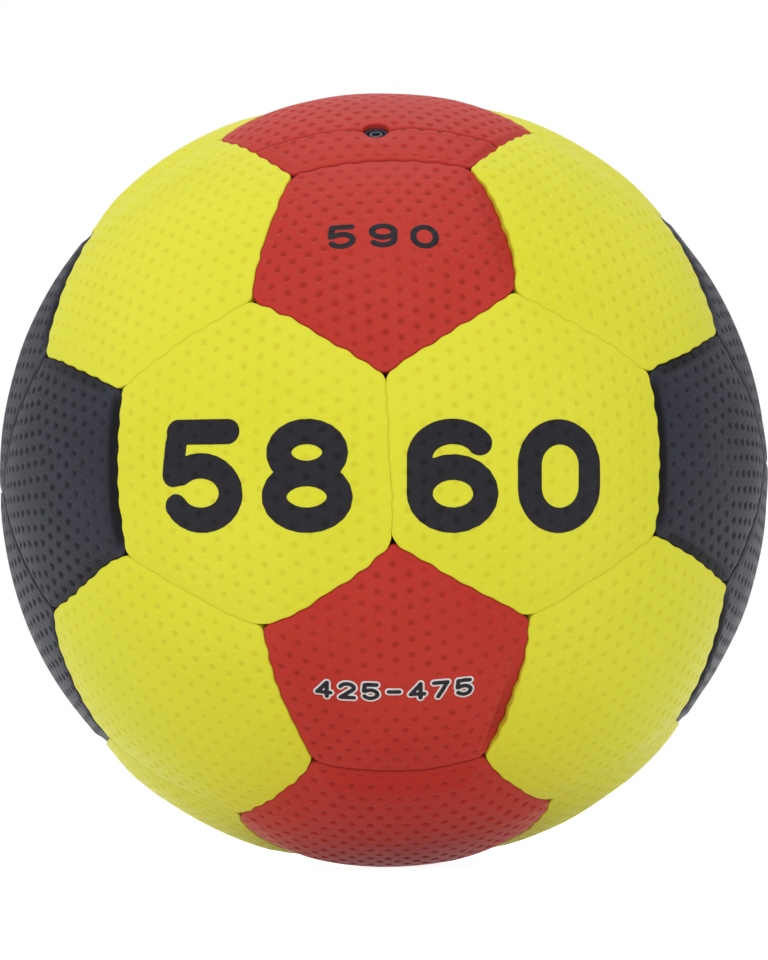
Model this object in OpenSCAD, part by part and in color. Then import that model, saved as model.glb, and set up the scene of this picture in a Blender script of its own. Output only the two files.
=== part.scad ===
// Handball for adult players: 32 hand-stitched panels over soft padding and a rubber bladder.
// The panels are the 12 pentagons and 20 hexagons of a truncated icosahedron, drawn on a sphere.
// The origin is the centre of the ball, +Z is up, and the two large upright panels face -Y.

/* [Ball] */
// Circumference over the crowns of the panels
circumference = 590; // [500:5:640]
// How far a panel falls from its crown to the middle of an edge
crown_drop = 0.5; // [0.2:0.1:1.2]

/* [Cover] */
// Thickness of the laminated skin of a panel
skin_t = 1.6; // [1.2:0.1:2]
// Radius of the rolled edge along a seam
roll_r = 1.3; // [1:0.1:2.4]
// Thickness of the skin where it is pared down and folded in at a seam
fold_t = 1.3; // [1:0.1:1.6]
// Gap between the two folded edges of a seam
seam_gap = 0.3; // [0.2:0.05:0.5]

/* [Padding] */
// Thickness of the foam pad under the crown of a panel
pad_t = 4.2; // [3.4:0.1:6]

/* [Stitching] */
// Width of the waxed thread, which lies flat along the folds
thread_d = 0.8; // [0.5:0.1:1]
// Distance from one stitch hole to the next, measured on the surface
stitch_pitch = 5.4; // [4:0.1:8]
// Least distance from the last stitch hole to the corner of a panel
stitch_margin = 2.6; // [2.4:0.1:4]
// Depth of the stitches below the skin at a seam
stitch_depth = 1.7; // [1.4:0.1:1.9]

/* [Bladder] */
// Wall of the rubber bladder
bladder_t = 1.4; // [0.8:0.1:2.5]

/* [Valve] */
// Diameter of the hole in the valve panel
valve_hole_d = 6.2; // [6.2:0.1:8]
// Radius of the soft rim of that hole
valve_rim_r = 0.4; // [0.3:0.1:1.2]
// Diameter of the rubber nose that stands in the hole
nose_d = 5.9; // [5:0.1:5.9]
// Depth of the nose below the crown of the panel
nose_recess = 1.3; // [1:0.1:3.5]
// Diameter of the hole for the inflation needle
needle_d = 1.9; // [1.6:0.05:2.4]
// Depth of that hole, down to the slit that seals itself
needle_depth = 9; // [5:0.5:10]
// Diameter of the plug that the needle goes through
plug_d = 4; // [3.6:0.1:4.2]
// Length of the plug
plug_l = 13; // [11:0.5:15]
// Diameter of the bead that keeps the plug in place
bead_d = 5.2; // [4.6:0.1:5.4]
// Height of the bead
bead_h = 1.8; // [1:0.1:2.4]
// Length of the plug above its bead
bead_drop = 9.4; // [9:0.1:10]
// Outer diameter of the raised ring round the needle hole
ring_d = 3.3; // [3:0.1:3.5]
// Height of that ring
ring_h = 0.5; // [0.3:0.1:0.8]
// Depth of the top of the ring below the top of the nose
ring_recess = 0.1; // [0.1:0.1:0.8]
// Diameter of the valve flange, vulcanised to the inside of the bladder
flange_d = 26; // [20:1:36]
// Thickness of that flange
flange_t = 1.4; // [0.8:0.1:2]
// Diameter of the valve body inside the bladder
body_d = 10; // [8:0.5:12]
// Diameter of the lower end of the valve body
body_tip_d = 7.4; // [7:0.1:8]
// Length of the valve body below the flange
body_l = 10; // [9:0.5:14]
// Diameter of the cloth patch that reinforces the valve panel
patch_d = 24; // [18:1:26]
// Thickness of that patch
patch_t = 0.7; // [0.4:0.1:1]

/* [Fits] */
// Gap between glued or pressed layers
layer_gap = 0.15; // [0.1:0.05:0.2]
// Gap round the plug in the valve body
plug_gap = 0.1; // [0.05:0.05:0.15]
// Gap round the thread in its holes
thread_gap = 0.1; // [0.05:0.05:0.15]

/* [Hidden] */
$fn = 128;

yellow = "#dfe13c";
red = "#c23a32";
charcoal = "#484a52";
foam_colour = "#e9e3cf";
cloth_colour = "#f1efe8";
thread_colour = "#f6f4ee";
rubber_colour = "#2b2c31";
valve_colour = "#3a4152";

// The golden ratio, from which every direction on the ball follows
phi = (1 + sqrt(5)) / 2;

// Directions of the panels from the centre, as shares of one another, with names and colours
pentagon_shares = [
    ["pentagon_front_upper", [0, -phi, 1], red],
    ["pentagon_front_lower", [0, -phi, -1], red],
    ["pentagon_back_upper", [0, phi, 1], red],
    ["pentagon_back_lower", [0, phi, -1], red],
    ["pentagon_left_front", [-phi, -1, 0], charcoal],
    ["pentagon_left_back", [-phi, 1, 0], charcoal],
    ["pentagon_right_front", [phi, -1, 0], charcoal],
    ["pentagon_right_back", [phi, 1, 0], charcoal],
    ["pentagon_top_left", [-1, 0, phi], yellow],
    ["pentagon_top_right", [1, 0, phi], yellow],
    ["pentagon_bottom_left", [-1, 0, -phi], yellow],
    ["pentagon_bottom_right", [1, 0, -phi], yellow]
];
hexagon_shares = [
    ["hexagon_top_back", [0, 1 / phi, phi], red],
    ["hexagon_bottom_front", [0, -1 / phi, -phi], red],
    ["hexagon_bottom_back", [0, 1 / phi, -phi], red],
    ["hexagon_left_upper", [-phi, 0, 1 / phi], charcoal],
    ["hexagon_left_lower", [-phi, 0, -1 / phi], charcoal],
    ["hexagon_right_upper", [phi, 0, 1 / phi], charcoal],
    ["hexagon_right_lower", [phi, 0, -1 / phi], charcoal],
    ["hexagon_front_left", [-1 / phi, -phi, 0], yellow],
    ["hexagon_front_right", [1 / phi, -phi, 0], yellow],
    ["hexagon_back_left", [-1 / phi, phi, 0], yellow],
    ["hexagon_back_right", [1 / phi, phi, 0], yellow],
    ["hexagon_corner_front_left_upper", [-1, -1, 1], yellow],
    ["hexagon_corner_front_right_upper", [1, -1, 1], yellow],
    ["hexagon_corner_front_left_lower", [-1, -1, -1], yellow],
    ["hexagon_corner_front_right_lower", [1, -1, -1], yellow],
    ["hexagon_corner_back_left_upper", [-1, 1, 1], yellow],
    ["hexagon_corner_back_right_upper", [1, 1, 1], yellow],
    ["hexagon_corner_back_left_lower", [-1, 1, -1], yellow],
    ["hexagon_corner_back_right_lower", [1, 1, -1], yellow]
];
valve_share = ["valve_panel", [0, -1 / phi, phi], red];
// The valve stands off the middle of its panel, towards the front
valve_axis_share = [0, -1, phi];

function unit(v) = v / norm(v);

// The part of b that is square to a, at length 1
function square_to(a, b) = unit(b - (b * unit(a)) * unit(a));

pentagons = [for (row = pentagon_shares) unit(row[1])];
hexagons = concat([for (row = hexagon_shares) unit(row[1])], [unit(valve_share[1])]);

// Distances on a truncated icosahedron whose edge is 1: to a corner and to the middle of an edge
corner_share = sqrt(9 * phi + 10) / 2;
edge_share = sqrt(corner_share * corner_share - 1 / 4);

// Angle, seen from the centre, from the middle of a panel to the middle of its edge
function edge_angle(sides) = asin(1 / (2 * tan(180 / sides) * edge_share));

pentagon_angle = edge_angle(5);
hexagon_angle = edge_angle(6);
half_edge_angle = asin(1 / (2 * corner_share));

ball_r = circumference / (2 * PI);
bladder_r = ball_r - skin_t - pad_t - 2 * layer_gap;
overrun = 5 * skin_t;
reach = ball_r + overrun;

// The rolled edge crosses the crown this share of its radius above it, so they meet in a soft line
roll_lift_share = 0.02;
// Each roll runs on past the corner by this share of the edge, so that the rolls meet in a mitre
roll_reach_share = 1.4;
roll_end_angle = roll_reach_share * half_edge_angle;

// Stitches: one arc of thread on each side of a seam, and one straight piece in each hole
stitch_r = ball_r - crown_drop - skin_t - stitch_depth;
edge_l = 2 * half_edge_angle * ball_r * PI / 180;
stitch_count = floor((edge_l - 2 * stitch_margin) / stitch_pitch) + 1;
stitch_step = stitch_pitch / ball_r * 180 / PI;
stitch_angles = [for (i = [0:stitch_count - 1]) (i - (stitch_count - 1) / 2) * stitch_step];
thread_line = seam_gap / 2 + fold_t + thread_gap + thread_d / 2;
thread_tail_share = 0.7;
thread_end_angle = stitch_angles[stitch_count - 1] + asin(thread_tail_share * thread_d / stitch_r);
cross_thread_share = 0.9;
pad_inset = thread_line + thread_d / 2 + layer_gap;

// How far the centre of a panel's own curve lies from the centre of the ball
function crown_shift(sides) =
    let (edge_r = ball_r - crown_drop)
    (ball_r * ball_r - edge_r * edge_r) / (2 * (ball_r - edge_r * cos(edge_angle(sides))));

// Distance from the centre of the ball to a panel's surface, at an angle from the panel's middle
function surface_r(sides, angle) =
    let (shift = crown_shift(sides), curve_r = ball_r - shift, aside = shift * sin(angle))
    shift * cos(angle) + sqrt(curve_r * curve_r - aside * aside);

// Heights along the valve, from the centre of the ball
valve_angle = acos(unit(valve_share[1]) * unit(valve_axis_share));
valve_r = surface_r(6, valve_angle);
nose_top = valve_r - nose_recess;
ring_top = nose_top - ring_recess;
plug_top = ring_top - ring_h;
plug_bottom = plug_top - plug_l;
bead_top = plug_top - bead_drop;
needle_bottom = ring_top - needle_depth;
flange_r = bladder_r - bladder_t - layer_gap;
body_top = flange_r - flange_t;
body_tip = body_top - body_l;
nose_edge_share = 0.07;
nose_edge = nose_edge_share * nose_d;
ring_edge_share = 0.3;
ring_edge = ring_edge_share * ring_h;
body_straight_share = 0.45;

// Turns the local +Z to z, and the local +X as far as it goes towards x
module orient(z, x) {
    z_axis = unit(z);
    x_axis = square_to(z, x);
    y_axis = cross(z_axis, x_axis);
    multmatrix([
        [x_axis.x, y_axis.x, z_axis.x, 0],
        [x_axis.y, y_axis.y, z_axis.y, 0],
        [x_axis.z, y_axis.z, z_axis.z, 0],
        [0, 0, 0, 1]
    ])
        children();
}

function nearest(v, list) =
    let (closeness = [for (w = list) v * w])
    list[search(max(closeness), closeness)[0]];

// Stands a pentagon or a hexagon, modelled with its middle on +Z, at its place on the ball
module place_pentagon(direction) {
    orient(direction, nearest(unit(direction), hexagons)) children();
}

module place_hexagon(direction) {
    orient(direction, nearest(unit(direction), pentagons)) children();
}

// For each edge of a panel: +X to the middle of the edge, +Y along it and +Z into the panel
module at_edges(sides) {
    for (i = [0:sides - 1])
        rotate([0, 0, i * 360 / sides])
            rotate([0, edge_angle(sides) - 90, 0])
                children();
}

// The ball that the crown of a panel belongs to, at a depth below the surface
module crown_ball(sides, depth) {
    translate([0, 0, crown_shift(sides)])
        sphere(r = ball_r - crown_shift(sides) - depth);
}

// All that lies beyond the seam plane of an edge, and the strip of the panel next to it
module beyond_seam(strip) {
    translate([-reach, -reach, -reach])
        cube([2 * reach, 2 * reach, reach + strip]);
}

// What the roll takes off the skin along one edge: a revolved corner outside a round section
module roll_cut(sides) {
    shift = crown_shift(sides);
    across = shift * sin(edge_angle(sides));
    curve_r = ball_r - shift;
    middle = seam_gap / 2 + roll_r;
    surface = sqrt(curve_r * curve_r - (across - middle) * (across - middle));
    roll_line = surface - roll_r + roll_r * roll_lift_share;
    translate([shift * cos(edge_angle(sides)), 0, 0])
        rotate([0, 0, -roll_end_angle]) rotate_extrude(angle = 2 * roll_end_angle)
            difference() {
                translate([roll_line, 0])
                    square([roll_r + overrun, middle]);
                translate([roll_line, middle])
                    circle(r = roll_r);
            }
}

module stitch_holes() {
    for (angle = stitch_angles)
        rotate([0, 0, angle])
            translate([stitch_r, 0, 0])
                cylinder(h = seam_gap + fold_t, d = thread_d + 2 * thread_gap);
}

// The hollow of a panel, inside its skin and its folded edges
module pocket(sides) {
    difference() {
        crown_ball(sides, skin_t);
        at_edges(sides) beyond_seam(seam_gap / 2 + fold_t);
    }
}

module panel(sides) {
    difference() {
        difference() {
            difference() {
                crown_ball(sides, 0);
                at_edges(sides) beyond_seam(seam_gap / 2);
            }
            at_edges(sides) roll_cut(sides);
        }
        sphere(r = bladder_r + layer_gap);
        pocket(sides);
        at_edges(sides) stitch_holes();
    }
}

module pad(sides) {
    difference() {
        crown_ball(sides, skin_t + layer_gap);
        at_edges(sides) beyond_seam(pad_inset);
        sphere(r = bladder_r + layer_gap);
    }
}

module pentagon_panel(row) {
    color(row[2]) place_pentagon(row[1]) panel(5);
}

module hexagon_panel(row) {
    color(row[2]) place_hexagon(row[1]) panel(6);
}

// Stands a piece of the valve, modelled along +Z, on its axis
module at_valve() {
    orient(valve_axis_share, [1, 0, 0]) children();
}

// A straight hole along the valve, from the middle of the ball outwards
module valve_hole(diameter) {
    cylinder(h = reach, d = diameter);
}

// The soft rim of the hole: a revolved corner outside a round section
module valve_rim_cut() {
    rim_line = valve_hole_d / 2 + valve_rim_r;
    rotate_extrude()
        difference() {
            translate([0, valve_r - valve_rim_r])
                square([rim_line, valve_rim_r + overrun]);
            translate([rim_line, valve_r - valve_rim_r])
                circle(r = valve_rim_r);
        }
}

module valve_panel() {
    color(valve_share[2]) difference() {
        place_hexagon(valve_share[1]) panel(6);
        at_valve() {
            valve_hole(valve_hole_d);
            valve_rim_cut();
        }
    }
}

module pentagon_pads() {
    color(foam_colour)
        for (direction = pentagons)
            place_pentagon(direction) pad(5);
}

module hexagon_pads() {
    color(foam_colour)
        for (row = hexagon_shares)
            place_hexagon(row[1]) pad(6);
}

// The pad under the valve panel has a hole for the nose and a shallow seat for the patch
module valve_panel_pad() {
    color(foam_colour) difference() {
        place_hexagon(valve_share[1]) pad(6);
        at_valve() valve_hole(nose_d + 2 * layer_gap);
        difference() {
            at_valve() valve_hole(patch_d + 2 * layer_gap);
            place_hexagon(valve_share[1]) crown_ball(6, skin_t + patch_t + 2 * layer_gap);
        }
    }
}

module valve_patch() {
    color(cloth_colour) difference() {
        intersection() {
            place_hexagon(valve_share[1]) crown_ball(6, skin_t + layer_gap);
            at_valve() valve_hole(patch_d);
        }
        place_hexagon(valve_share[1]) crown_ball(6, skin_t + layer_gap + patch_t);
        at_valve() valve_hole(nose_d + 2 * layer_gap);
    }
}

// Stands children at the seam between the panels a and b: +X to its middle, +Z across it
module at_seam(a, b, angle) {
    middle = cos(angle) * a + sin(angle) * square_to(a, b);
    orient(square_to(middle, b), middle) children();
}

function touching(a, b, angle) = a * b > cos(angle + half_edge_angle / 4);

// The saddle stitch of one seam
module stitches() {
    for (side = [-1, 1])
        translate([0, 0, side * thread_line])
            rotate([0, 0, -thread_end_angle])
                rotate_extrude(angle = 2 * thread_end_angle)
                    translate([stitch_r, 0])
                        square(thread_d, center = true);
    for (angle = stitch_angles)
        rotate([0, 0, angle])
            translate([stitch_r, 0, -thread_line])
                cylinder(h = 2 * thread_line, d = thread_d * cross_thread_share);
}

module pentagon_seam_thread() {
    color(thread_colour)
        for (a = pentagons)
            for (b = hexagons)
                if (touching(a, b, pentagon_angle + hexagon_angle))
                    at_seam(a, b, pentagon_angle) stitches();
}

module hexagon_seam_thread() {
    color(thread_colour)
        for (i = [0:len(hexagons) - 1])
            for (j = [i + 1:1:len(hexagons) - 1])
                if (touching(hexagons[i], hexagons[j], 2 * hexagon_angle))
                    at_seam(hexagons[i], hexagons[j], hexagon_angle) stitches();
}

module bladder() {
    color(rubber_colour) difference() {
        sphere(r = bladder_r);
        sphere(r = bladder_r - bladder_t);
        at_valve() valve_hole(nose_d + 2 * layer_gap);
    }
}

// Half section of the valve body: the nose, the wide part inside the bladder and the plug's seat
module valve_body_section() {
    seat = plug_d / 2 + plug_gap;
    groove = bead_d / 2 + plug_gap;
    polygon([
        [seat, nose_top],
        [nose_d / 2 - nose_edge, nose_top],
        [nose_d / 2, nose_top - nose_edge],
        [nose_d / 2, body_top + flange_t / 2],
        [body_d / 2, body_top + flange_t / 2],
        [body_d / 2, body_top - body_l * body_straight_share],
        [body_tip_d / 2, body_tip],
        [seat, body_tip],
        [seat, bead_top - bead_h - plug_gap],
        [groove, bead_top - bead_h * 2 / 3 - plug_gap],
        [groove, bead_top - bead_h / 3 + plug_gap],
        [seat, bead_top + plug_gap]
    ]);
}

module valve_body() {
    color(valve_colour) at_valve() {
        rotate_extrude() valve_body_section();
        difference() {
            intersection() {
                sphere(r = flange_r);
                valve_hole(flange_d);
            }
            sphere(r = flange_r - flange_t);
            valve_hole((plug_d + nose_d) / 2);
        }
    }
}

module valve_plug() {
    color(rubber_colour) at_valve() rotate_extrude()
        polygon([
            [needle_d / 2, ring_top],
            [ring_d / 2 - ring_edge, ring_top],
            [ring_d / 2, ring_top - ring_edge],
            [ring_d / 2, plug_top],
            [plug_d / 2, plug_top],
            [plug_d / 2, bead_top],
            [bead_d / 2, bead_top - bead_h / 3],
            [bead_d / 2, bead_top - bead_h * 2 / 3],
            [plug_d / 2, bead_top - bead_h],
            [plug_d / 2, plug_bottom],
            [0, plug_bottom],
            [0, needle_bottom],
            [needle_d / 2, needle_bottom]
        ]);
}

for (row = pentagon_shares)
    pentagon_panel(row);
for (row = hexagon_shares)
    hexagon_panel(row);
valve_panel();
pentagon_pads();
hexagon_pads();
valve_panel_pad();
pentagon_seam_thread();
hexagon_seam_thread();
bladder();
valve_body();
valve_plug();
valve_patch();
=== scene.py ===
"""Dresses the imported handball: embossed panels, stitched seams, foam, prints and the valve.

Lengths are in millimetres about the centre of the ball, and become metres in the meshes.
A place on the ball is a direction, a unit vector, and a height above the centre along it.
"""

import logging
import math
from dataclasses import dataclass, field, replace
from enum import Enum
from functools import cached_property
from itertools import product

import bpy
import numpy as np
from mathutils import Matrix, Vector


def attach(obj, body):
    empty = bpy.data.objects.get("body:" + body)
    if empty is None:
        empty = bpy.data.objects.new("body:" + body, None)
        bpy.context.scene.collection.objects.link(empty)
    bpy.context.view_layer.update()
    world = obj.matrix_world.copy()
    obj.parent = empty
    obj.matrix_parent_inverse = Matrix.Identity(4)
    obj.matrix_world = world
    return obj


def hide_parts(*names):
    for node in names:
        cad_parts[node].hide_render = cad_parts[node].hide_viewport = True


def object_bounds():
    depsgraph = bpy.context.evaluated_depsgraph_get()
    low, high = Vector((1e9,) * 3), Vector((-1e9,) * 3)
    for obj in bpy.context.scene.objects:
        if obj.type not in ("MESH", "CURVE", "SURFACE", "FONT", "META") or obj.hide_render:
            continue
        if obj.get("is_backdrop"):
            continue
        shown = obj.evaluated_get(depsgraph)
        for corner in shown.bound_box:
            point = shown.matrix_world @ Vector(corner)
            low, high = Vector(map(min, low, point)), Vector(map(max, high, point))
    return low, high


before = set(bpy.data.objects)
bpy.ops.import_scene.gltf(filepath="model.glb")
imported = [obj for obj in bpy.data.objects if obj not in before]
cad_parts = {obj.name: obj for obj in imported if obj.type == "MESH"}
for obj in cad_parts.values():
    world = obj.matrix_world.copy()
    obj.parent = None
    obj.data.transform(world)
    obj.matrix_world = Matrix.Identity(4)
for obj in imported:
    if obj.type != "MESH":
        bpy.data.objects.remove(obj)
cad_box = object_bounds()

log = logging.getLogger("handball")
Array = np.ndarray
Socket = bpy.types.NodeSocket
MM = 0.001
GOLDEN = (1 + math.sqrt(5)) / 2


class Cover(Enum):
    """The three leathers of the cover, by the record's material slot."""

    YELLOW = "yellow_cover"
    RED = "red_cover"
    CHARCOAL = "charcoal_cover"


@dataclass(frozen=True)
class Ball:
    """Sizes that all parts of the ball share, in millimetres."""

    circumference: float = 590.0
    crown_drop: float = 0.5
    skin: float = 1.6
    fold: float = 1.3
    fold_clearance: float = 0.15
    seam_gap: float = 0.1
    pad: float = 4.2
    layer_gap: float = 0.15
    thread: float = 0.8
    thread_gap: float = 0.1
    stitch_pitch: float = 5.4
    stitch_margin: float = 2.6
    stitch_depth: float = 1.7

    @property
    def radius(self) -> float:
        """Distance from the centre to the crown of a panel."""
        return self.circumference / (2 * math.pi)

    @property
    def pad_floor(self) -> float:
        """Distance from the centre to the underside of the foam, just clear of the bladder."""
        return self.radius - self.skin - self.pad - self.layer_gap

    @property
    def stitch_line(self) -> float:
        """Distance from the centre to the thread."""
        return self.radius - self.crown_drop - self.skin - self.stitch_depth

    @property
    def thread_offset(self) -> float:
        """Distance from the middle of a seam to the thread on each side."""
        return self.fold_clearance + self.fold + self.thread_gap + self.thread / 2


@dataclass(frozen=True)
class Relief:
    """The unevenness of a soft, stitched ball, in millimetres.

    A name with wave is a wavelength, and one with reach the distance over which a form fades.
    The line is the faint mark of the moulded lining, with a ridge beside it. The dent is the
    hollow round the valve, which is deeper past the line and deepens over a turn on each side.
    """

    swell_reach: float = 11.0
    pinch: float = 0.16
    pinch_reach: float = 1.5
    slow: float = 0.09
    slow_wave: float = 21.0
    fine: float = 0.05
    fine_wave: float = 7.0
    fine_reach: float = 7.0
    line: float = 0.18
    line_reach: float = 0.4
    ridge: float = 0.07
    ridge_off: float = 1.7
    ridge_reach: float = 1.1
    line_at_valve: float = 2.6
    dent: float = 0.3
    dent_past_line: float = 0.75
    dent_turn: float = 3.0
    dent_reach: float = 2.4
    seam_stitch: float = 0.13
    seam_slow: float = 0.26
    seam_slow_wave: float = 19.0
    seam_fine: float = 0.1
    seam_fine_wave: float = 5.0
    seam_near: float = 3.0
    seam_reach: float = 10.0
    row_drift: float = 0.25
    row_drift_wave: float = 26.0


BALL = Ball()
RELIEF = Relief()


def unit(v: Array) -> Array:
    """Gives vectors the length 1 along their last axis."""
    return v / np.linalg.norm(v, axis=-1, keepdims=True)


def square_to(v: Array, axis: Array) -> Array:
    """Vectors without their share along an axis."""
    return v - np.asarray(v @ axis)[..., None] * axis


def swing(start: Array, towards: Array, turn: Array) -> Array:
    """Directions start cos(t) + towards sin(t), for angles t from one towards the other."""
    turn = np.asarray(turn)[..., None]
    return np.cos(turn) * start + np.sin(turn) * towards


def round_about(count: int) -> Array:
    """Equal steps of a full turn, from 0."""
    return 2 * math.pi * np.arange(count) / count


def rounding(radius: Array, degrees: Array) -> tuple[Array, Array]:
    """A quarter circle: how far it still lies inwards, r - r sin(t), and how far down, r - r cos(t)."""
    turns = np.radians(degrees)
    return radius * (1 - np.sin(turns)), radius * (1 - np.cos(turns))


def ripple(points: Array, wavelength: float, seed: int) -> Array:
    """Smooth irregularity: the sum of 14 sine waves that cross the space in random directions.

    Args:
        points: rows of x, y, z in millimetres.
        wavelength: the usual distance from crest to crest.
        seed: picks the directions, so each use has its own.

    Returns:
        One value for each point, scaled to lie mostly between -1 and 1.
    """
    draw = np.random.default_rng(seed)
    waves = unit(draw.normal(size=(14, 3))) * draw.uniform(0.6, 1.6, (14, 1))
    phases = draw.uniform(0, 2 * math.pi, 14)
    return np.sin(points @ waves.T * (2 * math.pi / wavelength) + phases).sum(1) * 0.22


def ease(values: Array, low: float, high: float) -> Array:
    """The soft step 3t^2 - 2t^3, where t runs from 0 at low to 1 at high.

    Args:
        values: what is compared with the two ends.
        low: where the step starts.
        high: where it ends; it may lie below low.

    Returns:
        Values from 0 to 1.
    """
    t = np.clip((values - low) / (high - low), 0, 1)
    return t * t * (3 - 2 * t)


def stitched(distance: Array) -> Array:
    """A wave along a seam with a crest at each stitch."""
    return np.cos(2 * math.pi * distance / BALL.stitch_pitch)


def signed(*shares: tuple[float, float, float]) -> Array:
    """All the distinct vectors that follow from some by changing signs."""
    signs = np.array(list(product([1, -1], repeat=3)))
    return np.unique(np.concatenate([signs * np.array(s) for s in shares]) + 0.0, axis=0)


PENTAGON_AXES = unit(signed((0, GOLDEN, 1), (GOLDEN, 1, 0), (1, 0, GOLDEN)))


def panel_corners() -> Array:
    """The 60 corners: a third of the way from each pentagon's middle to each of its neighbours."""
    near = np.argwhere(np.abs(PENTAGON_AXES @ PENTAGON_AXES.T - 1 / math.sqrt(5)) < 1e-6)
    return unit(2 * PENTAGON_AXES[near[:, 0]] + PENTAGON_AXES[near[:, 1]])


CORNERS = panel_corners()
VALVE_AXIS = unit(np.array([0.0, -1.0, GOLDEN]))
ACROSS_VALVE = np.array([1.0, 0.0, 0.0])
# The moulded lining leaves a faint line round the ball, square to this direction
PARTING_AXIS = unit(np.array([0.0, -GOLDEN, -1.0]))
# A direction that no seam faces squarely, which tells the two sides of each seam apart
TELLING = np.array([0.31, 0.57, 0.76])


def from_valve(d: Array) -> Array:
    """Distance along the ball from the valve's axis."""
    return BALL.radius * np.arccos(np.clip(d @ VALVE_AXIS, -1, 1))


@dataclass
class Surface:
    """A mesh being put together: points, triangles and what each of them carries."""

    points: Array
    triangles: Array
    uv: Array | None = None
    values: dict[str, Array] = field(default_factory=dict)


def fan(sides: int, rings: int) -> tuple[Array, Array, Array]:
    """A triangular grid over a regular polygon, ring by ring from its middle.

    Ring k has k points on each of its sides, so it has sides * k points. Point j of a side is
    the share (rings - k, k - j, j) / rings of the middle, the side's first corner and its second.

    Args:
        sides: the number of the polygon's sides.
        rings: the number of rings round the middle point.

    Returns:
        Each point's side, its three shares and the triangles.
    """
    k = np.repeat(np.arange(1, rings + 1), sides * np.arange(1, rings + 1))
    first = 1 + sides * k * (k - 1) // 2
    m = np.arange(1, len(k) + 1) - first
    side, j = m // k, m % k
    shares = np.stack([rings - k, k - j, j], 1) / rings

    def at(ring: Array, place: Array) -> Array:
        """The number of the point at a place of a ring, counted on round its end."""
        start = 1 + sides * ring * (ring - 1) // 2
        return np.where(ring > 0, start + place % np.maximum(sides * ring, 1), 0)

    outer, after = at(k, m), at(k, m + 1)
    inner, before = at(k - 1, side * (k - 1) + j), at(k - 1, side * (k - 1) + j - 1)
    up = np.stack([inner, outer, after], 1)
    down = np.stack([before, outer, inner], 1)[j > 0]
    shares = np.concatenate([[[1, 0, 0]], shares])
    return np.concatenate([[0], side]), shares, np.concatenate([up, down])


def point_rows(start: int, count: int, size: int) -> list[Array]:
    """The numbers of a mesh's points in rows of one size that follow each other from a start."""
    return list(start + np.arange(count * size).reshape(count, size))


def bands(rows: list[Array]) -> Array:
    """Triangles between each closed row of points and the next, all of one size.

    Args:
        rows: the numbers of the points, each row in order and each beyond the last.

    Returns:
        Rows of three point numbers.
    """
    outer, inner = np.array(rows[:-1]), np.array(rows[1:])
    after, inner_after = np.roll(outer, -1, axis=1), np.roll(inner, -1, axis=1)
    faces = [np.stack([outer, inner, inner_after], -1), np.stack([outer, inner_after, after], -1)]
    return np.concatenate(faces, axis=1).reshape(-1, 3)


def merge_band(fine: Array, coarse: Array) -> Array:
    """Triangles from a closed row of many points inwards to one of few, on an underside.

    Args:
        fine: the numbers of the many points; their count is a multiple of the other's.
        coarse: the numbers of the few points.

    Returns:
        Rows of three point numbers.
    """
    step = len(fine) // len(coarse)
    j = np.repeat(np.arange(len(coarse)), step)
    i = np.tile(np.arange(step), len(coarse))
    to = np.where(i < step // 2, coarse[j], np.roll(coarse, -1)[j])
    sides = np.stack([fine, to, np.roll(fine, -1)], 1)
    middle = fine[np.arange(len(coarse)) * step + step // 2]
    return np.concatenate([sides, np.stack([middle, coarse, np.roll(coarse, -1)], 1)])


def sides_of(triangles: Array) -> Array:
    """The three sides of each triangle, as rows of two point numbers."""
    return triangles[:, [0, 1, 1, 2, 2, 0]].reshape(-1, 2)


def valve_loop(triangles: Array, points: Array, reach: float = 9.0) -> Array:
    """The points round the open hole for the valve, in order of their bearing about its axis.

    Args:
        triangles: the mesh's triangles.
        points: its points.
        reach: how far from the axis, in millimetres, the hole's edge lies at most.

    Returns:
        The numbers of the points, anticlockwise seen from outside.
    """
    edges, uses = np.unique(np.sort(sides_of(triangles), axis=1), axis=0, return_counts=True)
    rim = np.unique(edges[uses == 1])
    off = square_to(points[rim], VALVE_AXIS)
    near = np.linalg.norm(off, axis=1) < reach
    rim, off = rim[near], off[near]
    north = unit(np.cross(VALVE_AXIS, ACROSS_VALVE))
    return rim[np.argsort(np.arctan2(off @ north, off @ np.cross(north, VALVE_AXIS)))]


@dataclass(frozen=True)
class Emboss:
    """The die that presses rows of small dimples into a panel, parallel to its edges.

    Its depth is uneven over the panel, fades out by the seams and the valve hole, and is less
    under a small print. The pairs say from where to where such a change runs.
    """

    row_gap: float
    rows: int = 10
    past_rows: tuple[float, float] = (0.62, 0.38)
    core: float = 0.3
    mouth: float = 1.25
    usual: float = 0.84
    uneven: float = 0.22
    uneven_wave: float = 30.0
    by_seam: tuple[float, float] = (0.9, 2.2)
    by_hole: tuple[float, float] = (1.0, 1.9)
    by_print: tuple[float, float] = (1.25, 0.8)
    print_fade: float = 0.7

    def step(self, sides: int) -> float:
        """Distance between the dimples of a row: each row has one more to a side than the last."""
        return 2 * self.row_gap * math.tan(math.pi / sides)


EMBOSS = {5: Emboss(row_gap=3.14), 6: Emboss(row_gap=3.78)}


@dataclass(frozen=True)
class Edge:
    """How a panel of one leather turns down into its seams, and how deep its dimples are.

    The tuck is how much lower it lies at a seam with a fluorescent panel, which is the fuller one,
    and the flank how wide the strip is by which it turns down there. Shade is the share of painted
    shade that darkens the leather of that strip.
    """

    roll: float
    shoulder: float
    reach: float
    tuck: float
    dimple: float
    flank: float = 3.0
    shade: float = 0.0


EDGES = {
    Cover.YELLOW: Edge(roll=0.28, shoulder=0.14, reach=2.4, tuck=0.0, dimple=0.3),
    Cover.RED: Edge(0.7, 0.16, 2.2, tuck=0.1, dimple=0.42, flank=2.4, shade=0.2),
    Cover.CHARCOAL: Edge(0.9, 0.18, 2.2, tuck=0.5, dimple=0.5, flank=3.9, shade=1.1),
}
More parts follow.
